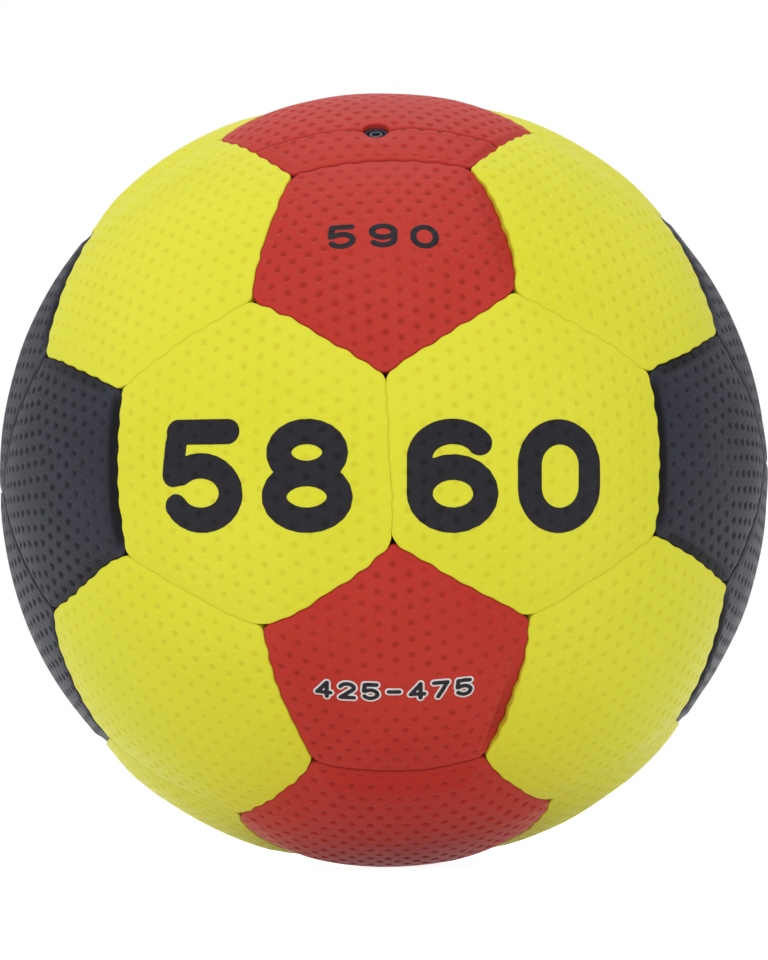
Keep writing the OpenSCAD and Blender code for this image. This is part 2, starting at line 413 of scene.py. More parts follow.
# A fluorescent panel closes its seams nearly; two of them meet in a shallow crease. Where it
# meets another leather, that one rolls over by a share of its usual roll.
CLOSED_GAP, CREASE_ROLL, CREASE_GAP, CLOSED_ROLL = 0.05, 0.12, 0.01, 0.5
# The inner share of a flank, where it lies at its full depth
FLANK_DEEP = 0.35


@dataclass
class Panel:
    """One panel of the cover, whose outside follows the crown, the rolled edges and the dimples."""

    node: str
    axis: Array
    cover: Cover
    swell: float
    hole: float = 0.0
    corner_round: float = 1.6
    plain: tuple[Array, float, float] | None = None

    def __post_init__(self) -> None:
        """Finds the panel's regular corners, anticlockwise seen from outside, and its bearings."""
        self.axis = unit(np.asarray(self.axis, float))
        self.sides = 5 if (PENTAGON_AXES @ self.axis).max() > 0.9999 else 6
        near = CORNERS[np.argsort(-(CORNERS @ self.axis))[: self.sides]]
        self.east = unit(square_to(near[0], self.axis))
        self.north = np.cross(self.axis, self.east)
        regular = near[np.argsort(np.arctan2(near @ self.north, near @ self.east))]
        self.rows_towards = unit(regular + np.roll(regular, -1, axis=0))
        self.bearings = np.arctan2(self.rows_towards @ self.north, self.rows_towards @ self.east)
        self.emboss, self.edge = EMBOSS[self.sides], EDGES[self.cover]
        self.bows, self.tucks, self.leans = np.zeros((3, self.sides))
        self.rolls = np.full(self.sides, self.edge.roll)
        self.gaps = np.full(self.sides, BALL.seam_gap)
        self.settle(regular)

    def settle(self, corners: Array) -> None:
        """Lays the panel's seams between corners, which need not be quite regular.

        Args:
            corners: directions, in the order of the regular corners.
        """
        self.corners, after = corners, np.roll(corners, -1, axis=0)
        self.inward = unit(np.cross(corners, after))
        self.middles = unit(corners + after)
        self.along = np.cross(self.inward, self.middles)
        self.halves = BALL.radius * np.arccos((corners * self.middles).sum(1))

    def meet(self, others: list["Panel"]) -> None:
        """Finds the panel beyond each edge and fits the edge to it.

        Args:
            others: the rest of the ball's panels.
        """
        axes = np.array([q.axis for q in others])
        self.beyond = [others[i] for i in (self.middles @ axes.T).argmax(1)]
        for i, panel in enumerate(self.beyond):
            if panel.cover is Cover.YELLOW and self.cover is Cover.YELLOW:
                self.rolls[i], self.gaps[i] = CREASE_ROLL, CREASE_GAP
            elif Cover.YELLOW in (panel.cover, self.cover):
                self.gaps[i] = CLOSED_GAP
            if panel.cover is Cover.YELLOW and self.cover is not Cover.YELLOW:
                self.tucks[i], self.rolls[i] = self.edge.tuck, self.edge.roll * CLOSED_ROLL

    def side_to(self, other: "Panel") -> int:
        """The number of the side that another panel lies beyond."""
        return int((self.middles @ other.axis).argmax())

    def along_ring(self, sizes: Array, count: int, turn: float = 0.12) -> Array:
        """A size of each side for the points of a ring, blended where two sides meet.

        Args:
            sizes: one value for each side.
            count: how many points each side has.
            turn: the share of a side, from its corner, over which its own value is reached.

        Returns:
            One value for each point of the ring.
        """
        corner = (sizes + np.roll(sizes, 1)) / 2
        knots = (np.arange(self.sides)[:, None] + [0, turn, 1 - turn]).ravel()
        values = np.stack([corner, sizes, sizes], 1).ravel()
        place = np.arange(self.sides * count) / count
        return np.interp(place, [*knots, self.sides], [*values, corner[0]])

    @cached_property
    def crown_shift(self) -> float:
        """How far the centre of the panel's own curve lies from the centre of the ball.

        Returns:
            The distance (r^2 - e^2) / 2(r - e c) that takes the curve from the height r in the middle
            to e at the middles of the sides, where c is the cosine of the angle between them.
        """
        edge = BALL.radius - BALL.crown_drop
        reach = edge * float(self.rows_towards[0] @ self.axis)
        return (BALL.radius**2 - edge**2) / (2 * (BALL.radius - reach))

    def crown(self, d: Array, depth: float = 0.0) -> Array:
        """Height of the panel's own sphere: s cos(a) + sqrt(r^2 - s^2 sin^2(a)).

        Args:
            d: directions.
            depth: how far below the surface.

        Returns:
            Distances from the centre of the ball.
        """
        cosine = np.clip(d @ self.axis, -1, 1)
        own = BALL.radius - self.crown_shift - depth
        aside = self.crown_shift**2 * (1 - cosine**2)
        return self.crown_shift * cosine + np.sqrt(own**2 - aside)

    def seam_places(self, d: Array) -> tuple[Array, Array]:
        """For directions, the distance inwards from each seam and the one along it from its middle."""
        away = BALL.radius * np.arcsin(np.clip(d @ self.inward.T, -1, 1))
        return away, BALL.radius * np.arctan2(d @ self.along.T, d @ self.middles.T)

    def from_seam(self, d: Array) -> Array:
        """Distance from the panel's outline, whose seams bow, wave at the stitches and meet roundly.

        A seam bows by 1 - |s/h|^3 of its bow at the distance s from its middle, for a half length
        h. Both panels of a seam share its waves, because each works them out on the seam itself
        and takes their sign from the way in which the seam faces.

        Args:
            d: directions.

        Returns:
            Distances in millimetres, below zero outside the panel.
        """
        away, on = self.seam_places(d)
        for i in range(self.sides):
            close = away[:, i] < RELIEF.seam_reach
            s = np.clip(on[close, i], -self.halves[i], self.halves[i])
            seam = swing(self.middles[i], self.along[i], s / BALL.radius) * BALL.radius
            facing = math.copysign(1, self.inward[i] @ TELLING)
            wave = RELIEF.seam_stitch * stitched(s)
            wave += RELIEF.seam_slow * ripple(seam, RELIEF.seam_slow_wave, 3)
            wave += RELIEF.seam_fine * ripple(seam, RELIEF.seam_fine_wave, 4)
            bow = self.bows[i] * (1 - np.abs(s / self.halves[i]) ** 3)
            share = ease(away[close, i], RELIEF.seam_reach, RELIEF.seam_near)
            away[close, i] += (facing * wave + bow) * share
        short = np.clip(self.corner_round - away, 0, None)
        corner = self.corner_round - np.sqrt((short**2).sum(1))
        return np.where(short.max(1) > 0, corner, away.min(1))

    def lattice(self, d: Array) -> Array:
        """Places in the rows of dimples of the side that each direction lies towards.

        The ball is laid out flat by the distance along it from the panel's middle. With y out from
        the middle and x along the row, a place is y/2g + x/s and y/2g - x/s, for rows g apart
        whose dimples are s apart. A dimple has two whole numbers.

        Args:
            d: directions.

        Returns:
            Two columns.
        """
        return self.lattice_towards(d, self.sector(d))

    def sector(self, d: Array) -> Array:
        """The number of the side whose rows of dimples each direction lies in."""
        return (d @ self.rows_towards.T).argmax(1)

    def lattice_towards(self, d: Array, side: Array) -> Array:
        """The lattice's places for given sides.

        Args:
            d: directions.
            side: the number of the side of each.

        Returns:
            Two columns.
        """
        x, y = d @ self.east, d @ self.north
        off = np.hypot(x, y)
        stretch = BALL.radius * np.arctan2(off, d @ self.axis) / np.maximum(off, 1e-12)
        drift = [ripple(d * BALL.radius, RELIEF.row_drift_wave, seed) for seed in (5, 6)]
        x, y = np.stack([x * stretch, y * stretch]) + RELIEF.row_drift * np.stack(drift)
        c, s = np.cos(self.bearings[side]), np.sin(self.bearings[side])
        row = (x * c + y * s) / (2 * self.emboss.row_gap)
        step = (y * c - x * s) / self.emboss.step(self.sides)
        return np.stack([row + step, row - step], 1)

    def bowl(self, lattice: Array) -> Array:
        """The round shape of the dimples, from 1 in their middles to 0 outside them.

        It eases with the least of the distances to the four corners of a cell of the lattice.

        Args:
            lattice: places in the rows of dimples.

        Returns:
            Shares from 0 to 1.
        """
        part = lattice - np.floor(lattice)
        best = np.full(len(part), np.inf)
        for corner in product((0, 1), repeat=2):
            u, v = (part - corner).T
            x, y = (u - v) * self.emboss.step(self.sides) / 2, (u + v) * self.emboss.row_gap
            best = np.minimum(best, np.hypot(x, y))
        return ease(best, self.emboss.mouth, self.emboss.core)

    def pressed(self, d: Array, t: Array, lattice: Array) -> Array:
        """How deep the dimples are pressed, as a share of their full depth.

        Args:
            d: directions.
            t: their distances from the outline.
            lattice: their places in the rows of dimples.

        Returns:
            Shares from 0 to 1.
        """
        die = self.emboss
        strength = ease(lattice.sum(1), *(die.rows + np.array(die.past_rows)))
        strength *= die.usual + die.uneven * ripple(d * BALL.radius, die.uneven_wave, 7)
        strength *= ease(t, *die.by_seam)
        if self.plain is not None:
            middle, wide, high = self.plain
            off = BALL.radius * (d - middle)
            far = np.hypot(np.hypot(off[:, 0], off[:, 1] * 0.5) / wide, off[:, 2] / high)
            strength *= 1 - die.print_fade * ease(far, *die.by_print)
        if self.hole:
            strength *= ease(from_valve(d) - self.hole, *die.by_hole)
        return np.clip(strength, 0, 1)

    def height(self, d: Array, t: Array, lattice: Array | None = None) -> Array:
        """Height of the outside before its edge rolls over.

        It is the crown, filled at its corners, raised where this panel swells, lowered by soft
        shoulders that fade with exp(-t/reach) of the distance t from the seam, pinched at each
        stitch, with slow irregularities, the dimples and the faint parting line.

        Args:
            d: directions.
            t: their distances from the outline.
            lattice: their places in the rows of dimples, or none where there are no dimples.

        Returns:
            Distances from the centre of the ball.
        """
        t, place, form = np.clip(t, 0, None), d * BALL.radius, RELIEF
        away, on = self.seam_places(d)
        nearest = on[np.arange(len(on)), away.argmin(1)]
        r = np.maximum(self.crown(d), BALL.radius - BALL.crown_drop)
        r += self.swell * ease(t, 0, form.swell_reach)
        r -= self.edge.shoulder * np.exp(-t / self.edge.reach) + self.tucked(away, on)
        r -= form.pinch * np.exp(-t / form.pinch_reach) * (0.5 + 0.5 * stitched(nearest))
        r += form.slow * ripple(place, form.slow_wave, 8)
        r += form.fine * ripple(place, form.fine_wave, 9) * np.exp(-t / form.fine_reach)
        if lattice is not None:
            r -= self.edge.dimple * self.bowl(lattice) * self.pressed(d, t, lattice)
        line = BALL.radius * np.arcsin(np.clip(d @ PARTING_AXIS, -1, 1))
        sharp = form.line_at_valve if self.hole else 1.0
        r -= form.line * sharp * np.exp(-((line / form.line_reach) ** 2))
        r += form.ridge * sharp * np.exp(-(((line - form.ridge_off) / form.ridge_reach) ** 2))
        if self.hole:
            near = np.clip(from_valve(d) - self.hole, 0, None)
            dent = form.dent + form.dent_past_line * ease(line, -form.dent_turn, form.dent_turn)
            r -= dent * np.exp(-((near / form.dent_reach) ** 2))
        return r

    def tucked(self, away: Array, on: Array) -> Array:
        """How much lower the flanks below fuller panels lie.

        A tuck has the course (1 - |u|^3) (1 + lean u), for u from -1 to 1 along its seam.

        Args:
            away: distances from each seam.
            on: distances along each seam from its middle.

        Returns:
            One depth for each place.
        """
        u = np.clip(on / self.halves, -1, 1)
        depth = self.tucks * (1 - np.abs(u) ** 3) * (1 + self.leans * u)
        return (depth * ease(away, self.edge.flank, self.edge.flank * FLANK_DEEP)).max(1)

    def rolled(self, t: Array) -> Array:
        """How far the edge has dropped by t from the seam: r - sqrt(r^2 - (r - t)^2) within r of it."""
        roll = self.edge.roll
        return roll - np.sqrt(roll**2 - np.clip(roll - t + BALL.seam_gap / 2, 0, roll) ** 2)

    def inset_corners(self, t: float) -> Array:
        """The corners of the same polygon drawn in by t from each seam.

        With w = (a + b) / (1 + a.b) for the two seams' normals a and b at a corner c, and s the
        sine of the distance, the point is s w + sqrt(1 - s^2 w.w) c.

        Args:
            t: the distance in millimetres.

        Returns:
            One direction for each corner.
        """
        before = np.roll(self.inward, 1, axis=0)
        w = (before + self.inward) / (1 + (before * self.inward).sum(1, keepdims=True))
        s = math.sin(t / BALL.radius)
        return s * w + np.sqrt(1 - s * s * (w * w).sum(1, keepdims=True)) * self.corners

    def outward_rows(
        self, ring: Array, goals: Array, ends: tuple[float, float] = (-0.3, 1.9), halvings: int = 20
    ) -> Array:
        """Rows of directions between a ring of points and the outline.

        Each point moves along the line to its own place on the regular outline. Halving an
        interval of shares of that line finds where its distance from the outline is the goal.

        Args:
            ring: the directions of the ring, side by side.
            goals: a row of distances for each row of points, with one for each point.
            ends: the shares of a line between which the goal is sought.
            halvings: how often the interval is halved.

        Returns:
            The directions, row by row.
        """
        count = len(ring) // self.sides
        share = np.tile(np.arange(count) / count, self.sides)[:, None]
        first = np.repeat(self.corners, count, axis=0)
        second = np.repeat(np.roll(self.corners, -1, axis=0), count, axis=0)
        edge = unit(first * (1 - share) + second * share)
        start, way = (np.tile(v, (len(goals), 1)) for v in (ring, edge - ring))
        low, high = (np.full(len(start), end) for end in ends)
        for _ in range(halvings):
            half = (low + high) / 2
            inside = self.from_seam(unit(start + way * half[:, None])) > goals.ravel()
            low, high = np.where(inside, half, low), np.where(inside, high, half)
        return unit(start + way * low[:, None]).reshape(len(goals), -1, 3)


@dataclass
class Skin:
    """The laminated skin of a panel: embossed outside, rolled edges, folds down the seam, inside.

    The grid ends at its start, in millimetres from the outline, and rows of points go on to the
    seam. The value called seam is a point's distance from it, up to far.
    """

    panel: Panel
    spacing: float = 0.42
    start: float = 5.2
    corner_room: float = 1.2
    underside_rings: int = 12
    underside_inset: float = 0.9
    underside_drop: float = 0.4
    wall_step: float = 1.2
    roll_room: float = 1.15
    hole_rim: float = 0.35
    hole_room: float = 0.2
    far: float = 20.0

    @property
    def fold_in(self) -> float:
        """Distance from the outline to the inner face of the fold."""
        return BALL.seam_gap / 2 + BALL.fold

    def rings(self) -> int:
        """How many rings give the spacing.

        Returns:
            A multiple of the number of the underside's rings.
        """
        far = BALL.radius * math.acos(float(self.panel.corners[0] @ self.panel.axis))
        count = (far - self.corner_room * self.start) / self.spacing
        return self.underside_rings * math.ceil(count / self.underside_rings)

    def grid(self, side: Array, shares: Array, inset: float) -> Array:
        """Directions of a fan that spans the panel up to a distance from its seams.

        Args:
            side: the side of each point of the fan.
            shares: its three shares.
            inset: the distance in millimetres.

        Returns:
            One direction for each point.
        """
        corners = self.panel.inset_corners(inset)
        after = np.roll(corners, -1, axis=0)
        spread = shares[:, 1:2] * corners[side] + shares[:, 2:] * after[side]
        return unit(shares[:, :1] * self.panel.axis + spread)

    def surface(self) -> Surface:
        """Builds the closed shell, from the middle of the outside to the middle of the inside.

        Returns:
            The points, the triangles and the values that the leather reads.
        """
        p, rings = self.panel, self.rings()
        if p.hole:
            self.underside_rings = rings
        *fine, top = fan(p.sides, rings)
        *rough, under = fan(p.sides, self.underside_rings)
        d = self.grid(*fine, self.start)
        below = self.grid(*rough, self.start if p.hole else self.fold_in + self.underside_inset)
        ring = np.arange(len(d) - p.sides * rings, len(d))
        roll, half_gap = p.along_ring(p.rolls, rings), p.along_ring(p.gaps, rings) / 2
        own, last = p.from_seam(d[ring]), half_gap + roll * self.roll_room
        steps = math.ceil((self.start - last.max()) / self.spacing)
        near = last + (own - last) * (1 - np.arange(1, steps + 1) / steps)[:, None]
        turned_in, turned_down = rounding(roll, np.array([15, 30, 45, 60, 75, 90])[:, None])
        folded_in = np.full((1, len(ring)), self.fold_in)
        rows = p.outward_rows(d[ring], np.concatenate([near, half_gap + turned_in, folded_in]))
        drops = np.concatenate([np.zeros((steps, len(ring))), turned_down])
        outer = np.concatenate([d, rows[:-1].reshape(-1, 3)])
        t, lattice = p.from_seam(outer), p.lattice(outer)
        level = p.height(outer, t, lattice)
        level[len(d) :] -= drops.ravel()
        edge, folded = rows[-2], rows[-1]
        floor = np.full(len(ring), BALL.pad_floor)
        inside = p.crown(folded, BALL.skin) - self.underside_drop
        down = [level[-len(ring) :] - self.wall_step, floor, floor, inside]
        directions = np.concatenate([outer, edge, edge, folded, folded, below])
        height = np.concatenate([level, *down, p.crown(below, BALL.skin)])
        count = len(rows) - 1 + len(down)
        base = len(d) + count * len(ring)
        inmost = base + np.arange(len(below) - p.sides * self.underside_rings, len(below))
        starts = [ring, *point_rows(len(d), count, len(ring))]
        faces = [top, bands(starts), merge_band(starts[-1], inmost), base + under[:, ::-1]]
        made = Surface(directions * height[:, None], np.concatenate(faces))
        made.values = {
            "emboss": p.pressed(outer, t, lattice),
            "seam": np.clip(t, 0, self.far),
            # How much painted shade darkens the tucked strip beside a fuller panel
            "flank": p.edge.shade * p.tucked(*p.seam_places(outer)),
        }
        if p.hole:
            self.pierce(made, base, len(d))
        # The folds and the underside are out of sight, and the valve hole is far from a seam
        for key, values in made.values.items():
            beyond = np.zeros(len(made.points) - len(values))
            beyond[len(directions) - len(values) :] = self.far if key == "seam" else 0
            made.values[key] = np.concatenate([values, beyond])
        side = p.sector(unit(made.points[made.triangles].mean(1)))
        places = unit(made.points[made.triangles.ravel()])
        made.uv = p.lattice_towards(places, np.repeat(side, 3))
        return made

    def pierce(self, made: Surface, base: int, count: int) -> None:
        """Cuts the round valve hole: a soft rim, a wall and the same hole on the inside.

        Args:
            made: the closed shell, with the same grid on both sides.
            base: the number of the first point of the inside.
            count: the number of the outside grid's points.
        """
        p, rim = self.panel, self.hole_rim
        gone = from_valve(unit(made.points)) - p.hole < rim + self.hole_room
        gone[base:] = gone[:count]
        made.triangles = made.triangles[~gone[made.triangles].any(1)]
        loop = valve_loop(made.triangles[(made.triangles < count).all(1)], made.points)
        away = unit(square_to(made.points[loop], VALVE_AXIS))
        turned_in, turned_down = rounding(rim, np.array([0, 22, 45, 67, 90]))
        across = [*(p.hole + turned_in), p.hole, p.hole, p.hole]
        drops = [*turned_down, rim, rim, rim]
        shares = [*np.ones(len(turned_in)), 0.6, 0.3, 0.0]
        points = []
        for radius, drop, share in zip(across, drops, shares):
            row = swing(VALVE_AXIS, away, radius / BALL.radius)
            top, floor = p.height(row, p.from_seam(row)) - drop, p.crown(row, BALL.skin)
            points.append(row * (floor + (top - floor) * share)[:, None])
        rows = point_rows(len(made.points), len(points), len(loop))
        made.points = np.concatenate([made.points, *points])
        walls = bands([loop + base, *rows[::-1], loop])
        made.triangles = np.concatenate([made.triangles, walls])


@dataclass
class FoamPad:
    """The slab of foam glued under a panel, with soft edges; the valve's has a bore and a seat."""

    panel: Panel
    spacing: float = 2.1
    inset: float = 2.5
    soft_edge: float = 1.1
    start: float = 6.2
    bore: float = 0.0
    bore_room: float = 0.6
    seat: float = 0.0
    seat_depth: float = 0.85
    seat_edge: float = 0.4

    def outside(self, d: Array) -> Array:
        """Height of the top: the crown below the skin, lowered where the cloth patch lies.

        Args:
            d: directions.

        Returns:
            Distances from the centre of the ball.
        """
        r = self.panel.crown(d, BALL.skin + BALL.layer_gap)
        if self.seat:
            r = r - self.seat_depth * ease(from_valve(d), self.seat + self.seat_edge, self.seat)
        return r

    def surface(self) -> Surface:
        """Builds the closed slab.

        Returns:
            Its points and triangles.
        """
        skin = Skin(self.panel, self.spacing, self.start, underside_rings=1)
        p, rings, floor = self.panel, skin.rings(), BALL.pad_floor
        *fine, top = fan(p.sides, rings)
        d = skin.grid(*fine, self.start)
        ring = np.arange(len(d) - p.sides * rings, len(d))
        turned_in, turned_down = rounding(self.soft_edge, np.array([0, 30, 60, 90]))
        goals = np.array([(self.start + self.inset) / 2, *(self.inset + turned_in)])
        rows = p.outward_rows(d[ring], goals[:, None] + np.zeros(len(ring)))
        sides = [row * (self.outside(row) - drop)[:, None] for row, drop in zip(rows, [0, *turned_down])]
        points = np.concatenate([d * self.outside(d)[:, None], *sides, rows[-1] * floor, d * floor])
        count = len(rows) + 1
        base = len(d) + count * len(ring)
        walls = bands([ring, *point_rows(len(d), count, len(ring)), base + ring])
        faces = np.concatenate([top, walls, base + top[:, ::-1]])
        if self.bore:
            gone = from_valve(unit(points)) < self.bore + self.spacing * self.bore_room
            faces = faces[~gone[faces].any(1)]
            loop = valve_loop(faces[(faces < len(d)).all(1)], points)
            away = unit(square_to(points[loop], VALVE_AXIS))
            row = unit(VALVE_AXIS * BALL.radius + away * self.bore)
            numbers = [loop + base, *point_rows(len(points), 2, len(loop))[::-1], loop]
            points = np.concatenate([points, row * self.outside(row)[:, None], row * floor])
            faces = np.concatenate([faces, bands(numbers)])
        return Surface(points, faces)


def join(parts: list[Surface]) -> Surface:
    """Puts several closed surfaces into one mesh.

    Args:
        parts: the surfaces.

    Returns:
        One surface with all their points and triangles.
    """
    starts = np.cumsum([0] + [len(s.points) for s in parts[:-1]])
    triangles = np.concatenate([s.triangles + a for s, a in zip(parts, starts)])
    return Surface(np.concatenate([s.points for s in parts]), triangles)


def tubes(lines: Array, up: Array, aside: Array, radius: float, sides: int = 6) -> Surface:
    """Round tubes along many lines of equally many points, closed at both ends.

    A point of a tube is p + r (u cos t + a sin t), for a point p of the line and two directions
    u and a that are square to it.

    Args:
        lines: tubes, points and x, y, z.
        up: a direction for each point, square to its line.
        aside: a second one, square to both.
        radius: of the tube.
        sides: faces round the tube.

    Returns:
        All tubes as one surface.
    """
    count, long, _ = lines.shape
    wall = lines[:, :, None] + radius * swing(up[:, :, None], aside[:, :, None], round_about(sides))
    each = long * sides + 2
    points = np.concatenate([wall.reshape(count, -1, 3), lines[:, [0, -1]]], axis=1)
    rings = np.arange(long * sides).reshape(long, sides)
    after = np.roll(rings, -1, axis=1)
    start = np.stack([np.full(sides, each - 2), after[0], rings[0]], 1)
    end = np.stack([np.full(sides, each - 1), rings[-1], after[-1]], 1)
    one = np.concatenate([bands(list(rings))[:, ::-1], start, end])
    if np.cross(up[0, 0], aside[0, 0]) @ (lines[0, 1] - lines[0, 0]) < 0:
        one = one[:, ::-1]
    faces = (one[None] + each * np.arange(count)[:, None, None]).reshape(-1, 3)
    return Surface(points.reshape(-1, 3), faces)


@dataclass
class SeamThread:
    """The saddle stitch of many seams: a thread down each side and one through each hole."""

    seams: list[tuple[Panel, int]]
    radius: float = 0.38
    through: float = 0.9
    sag: float = 0.06
    past_hole: float = 0.5
    steps: int = 30

    def place(self, s: Array) -> tuple[Array, Array, Array]:
        """Where the seams run at distances from their middles.

        Args:
            s: the distances.

        Returns:
            For each seam, its directions there, its way inwards, and how far it lies along that.
        """
        names = ("middles", "along", "inward", "bows", "halves")
        middle, along, inward, bow, half = (
            np.array([getattr(p, name)[i] for p, i in self.seams])[:, None] for name in names
        )
        return swing(middle, along, s / BALL.radius), inward, bow * (np.abs(s / half) ** 3 - 1)

    def surface(self) -> Surface:
        """Builds the threads, which dip between the holes as a tight stitch does.

        Returns:
            All the threads of these seams as one surface.
        """
        # A truncated icosahedron of the radius 1 has edges of the length 2 / sqrt(9 g + 10)
        edge = 2 * BALL.radius * math.asin(1 / math.sqrt(9 * GOLDEN + 10))
        holes = math.floor((edge - 2 * BALL.stitch_margin) / BALL.stitch_pitch) + 1
        at = (np.arange(holes) - (holes - 1) / 2) * BALL.stitch_pitch
        s = np.linspace(at[0] - self.past_hole, at[-1] + self.past_hole, self.steps)
        level = BALL.stitch_line - self.sag * (1 - stitched(s))
        up, inward, bow = self.place(s)
        inward = np.broadcast_to(inward, up.shape)
        sides = [
            up * level[:, None] + inward * (bow + offset)[..., None]
            for offset in (-BALL.thread_offset, BALL.thread_offset)
        ]
        ups, asides = np.concatenate([up, up]), np.concatenate([inward, inward])
        down = tubes(np.concatenate(sides), ups, asides, self.radius)
        up, inward, bow = (v[:, :, None] for v in self.place(at))
        ends = bow[..., None] + (np.array([-1, -0.5, 0.5, 1]) * BALL.thread_offset)[:, None]
        lines = up * BALL.stitch_line + inward * ends
        rows = [np.broadcast_to(v, lines.shape).reshape(-1, 4, 3) for v in (up, np.cross(inward, up))]
        return join([down, tubes(lines.reshape(-1, 4, 3), *rows, self.radius * self.through)])


def lathe(profile: Array, segments: int = 96) -> Surface:
    """Turns a closed half section about the valve's axis: (x cos t, x sin t, z) for its x and z.

    Args:
        profile: distances from the axis and heights along it, clockwise, axis on the left.
        segments: points round the axis.

    Returns:
        The closed surface.
    """
    profile = profile[::-1]
    east = unit(np.cross(ACROSS_VALVE, VALVE_AXIS))
    around = swing(east, np.cross(VALVE_AXIS, east), round_about(segments))
    points = profile[:, None, :1] * around + profile[:, None, 1:] * VALVE_AXIS
    grid = point_rows(0, len(profile), segments)
    tri, points = bands([*grid, grid[0]])[:, ::-1], points.reshape(-1, 3)
    a, b, c = (points[tri[:, i]] for i in range(3))
    solid = np.linalg.norm(np.cross(b - a, c - a), axis=1) > 1e-9
    return Surface(points, tri[solid])


def eased_corners(corners: Array, cut: Array, steps: int = 4) -> Array:
    """Rounds each corner of a closed outline with a curve (1-t)^2 a + 2t(1-t) b + t^2 c.

    Args:
        corners: the outline.
        cut: how far from each corner its curve starts, at most just under halfway.
        steps: points of each curve.

    Returns:
        The rounded outline.
    """
    ways = np.stack([np.roll(corners, 1, axis=0), np.roll(corners, -1, axis=0)]) - corners
    sizes = np.linalg.norm(ways, axis=-1)
    a, c = (corners + ways * (np.minimum(cut, 0.48 * sizes) / sizes)[..., None])[:, :, None]
    t = np.linspace(0, 1, steps)[None, :, None]
    curve = (1 - t) ** 2 * a + 2 * t * (1 - t) * corners[:, None] + t**2 * c
    return curve.reshape(-1, 2)


@dataclass
class Valve:
    """The rubber valve: a body moulded to the bladder, a plug for the needle, and a cloth patch."""

    hole: float = 6.2
    nose: float = 5.9
    nose_recess: float = 1.3
    seat: float = 4.2
    needle: float = 1.9
    needle_depth: float = 9.0
    plug: float = 4.0
    plug_length: float = 13.0
    bead: float = 5.2
    bead_height: float = 1.8
    bead_drop: float = 9.4
    bead_room: float = 0.1
    ring: float = 3.3
    ring_height: float = 0.5
    ring_recess: float = 0.1
    flange: float = 26.0
    flange_thick: float = 1.4
    bladder_wall: float = 1.4
    body: float = 10.0
    body_tip: float = 7.4
    body_length: float = 10.0
    body_shoulder: float = 0.45
    moulded_edge: float = 0.35
    flange_edge: float = 0.5
    patch: float = 24.0
    patch_thick: float = 0.7

    def tops(self, panel: Panel) -> tuple[float, float, float]:
        """Heights of the nose, the ring and the plug along the valve, in the panel's hole."""
        nose = float(panel.crown(VALVE_AXIS[None])[0]) - self.nose_recess
        return nose, nose - self.ring_recess, nose - self.ring_recess - self.ring_height

    def body_surface(self, panel: Panel) -> Surface:
        """The nose, the flange inside the bladder and the body below it, hollow for the plug.

        Args:
            panel: the one with the valve hole.

        Returns:
            The closed surface.
        """
        nose, _, plug = self.tops(panel)
        flange = BALL.pad_floor - BALL.layer_gap - self.bladder_wall - BALL.layer_gap
        under = flange - self.flange_thick

        def arch(radius: float, start: float, end: float, count: int) -> Array:
            """Points of the flange's round face between two widths."""
            wide = np.linspace(start / 2, end / 2, count)
            return np.stack([wide, np.sqrt(radius**2 - wide**2)], 1)

        s, bead, room = self.seat / 2, self.bead / 2 + self.bead_room, self.bead_room
        top, tip = plug - self.bead_drop, under - self.body_length
        low = [
            [self.body / 2, under - self.body_length * self.body_shoulder],
            [self.body_tip / 2, tip],
            [s, tip],
            [s, top - self.bead_height - room],
            [bead, top - self.bead_height * 2 / 3 - room],
            [bead, top - self.bead_height / 3 + room],
            [s, top + room],
            [s, nose],
            [self.nose / 2, nose],
        ]
        above, below = arch(flange, self.nose, self.flange, 9), arch(under, self.flange, self.body, 8)
        outline = np.concatenate([above, below, low])
        cut = np.full(len(outline), self.moulded_edge)
        cut[[len(above) - 1, len(above)]] = self.flange_edge
        return lathe(eased_corners(outline, cut))

    def plug_surface(self, panel: Panel) -> Surface:
        """The plug: a raised ring round the needle hole, a bead that holds it, and a round end.

        Each row of its half section has a corner's place and how far its rounding starts from it.

        Args:
            panel: the one with the valve hole.

        Returns:
            The closed surface.
        """
        _, ring, plug = self.tops(panel)
        bead, third = plug - self.bead_drop, self.bead_height / 3
        n, bottom, deep = self.needle / 2, plug - self.plug_length, ring - self.needle_depth
        rows = np.array(
            [
                [n * 0.97, ring - 1.2, 0.1],
                [n, ring, 0.3],
                [self.ring / 2, ring, 0.38],
                [self.ring / 2, plug, 0.25],
                [self.plug / 2, plug, 0.3],
                [self.plug / 2, bead, 0.3],
                [self.bead / 2, bead - third, 0.4],
                [self.bead / 2, bead - third * 2, 0.4],
                [self.plug / 2, bead - self.bead_height, 0.3],
                [self.plug / 2, bottom, 0.5],
                [0.0, bottom, 0.0],
                [0.0, deep, 0.0],
                [n * 0.9, deep + 0.8, 0.3],
            ]
        )
        return lathe(eased_corners(rows[:, :2], rows[:, 2] + 1e-4, 6))

    def patch_surface(self, panel: Panel) -> Surface:
        """The round cloth patch between the skin and the foam, with a hole for the nose.

        Args:
            panel: the one with the valve hole.

        Returns:
            The closed surface.
        """
        turn = np.linspace(self.nose / 2 + BALL.layer_gap, self.patch / 2, 14) / BALL.radius
        d = swing(VALVE_AXIS, ACROSS_VALVE, turn)
        flat, top = np.stack([np.sin(turn), np.cos(turn)], 1), BALL.skin + BALL.layer_gap
        upper, lower = (flat * panel.crown(d, depth)[:, None] for depth in (top, top + self.patch_thick))
        return lathe(np.concatenate([upper, lower[::-1]]), 128)


def arc(x: float, y: float, rx: float, ry: float, start: float, end: float) -> list[Array]:
    """Points of a part of an ellipse.

    Args:
        x: across to its middle.
        y: up to its middle.
        rx: half its width.
        ry: half its height.
        start: the bearing of the first point, in degrees.
        end: that of the last.

    Returns:
        The points in order.
    """
    t = np.radians(np.linspace(start, end, 22))
    return list(np.stack([x + rx * np.cos(t), y + ry * np.sin(t)], 1))


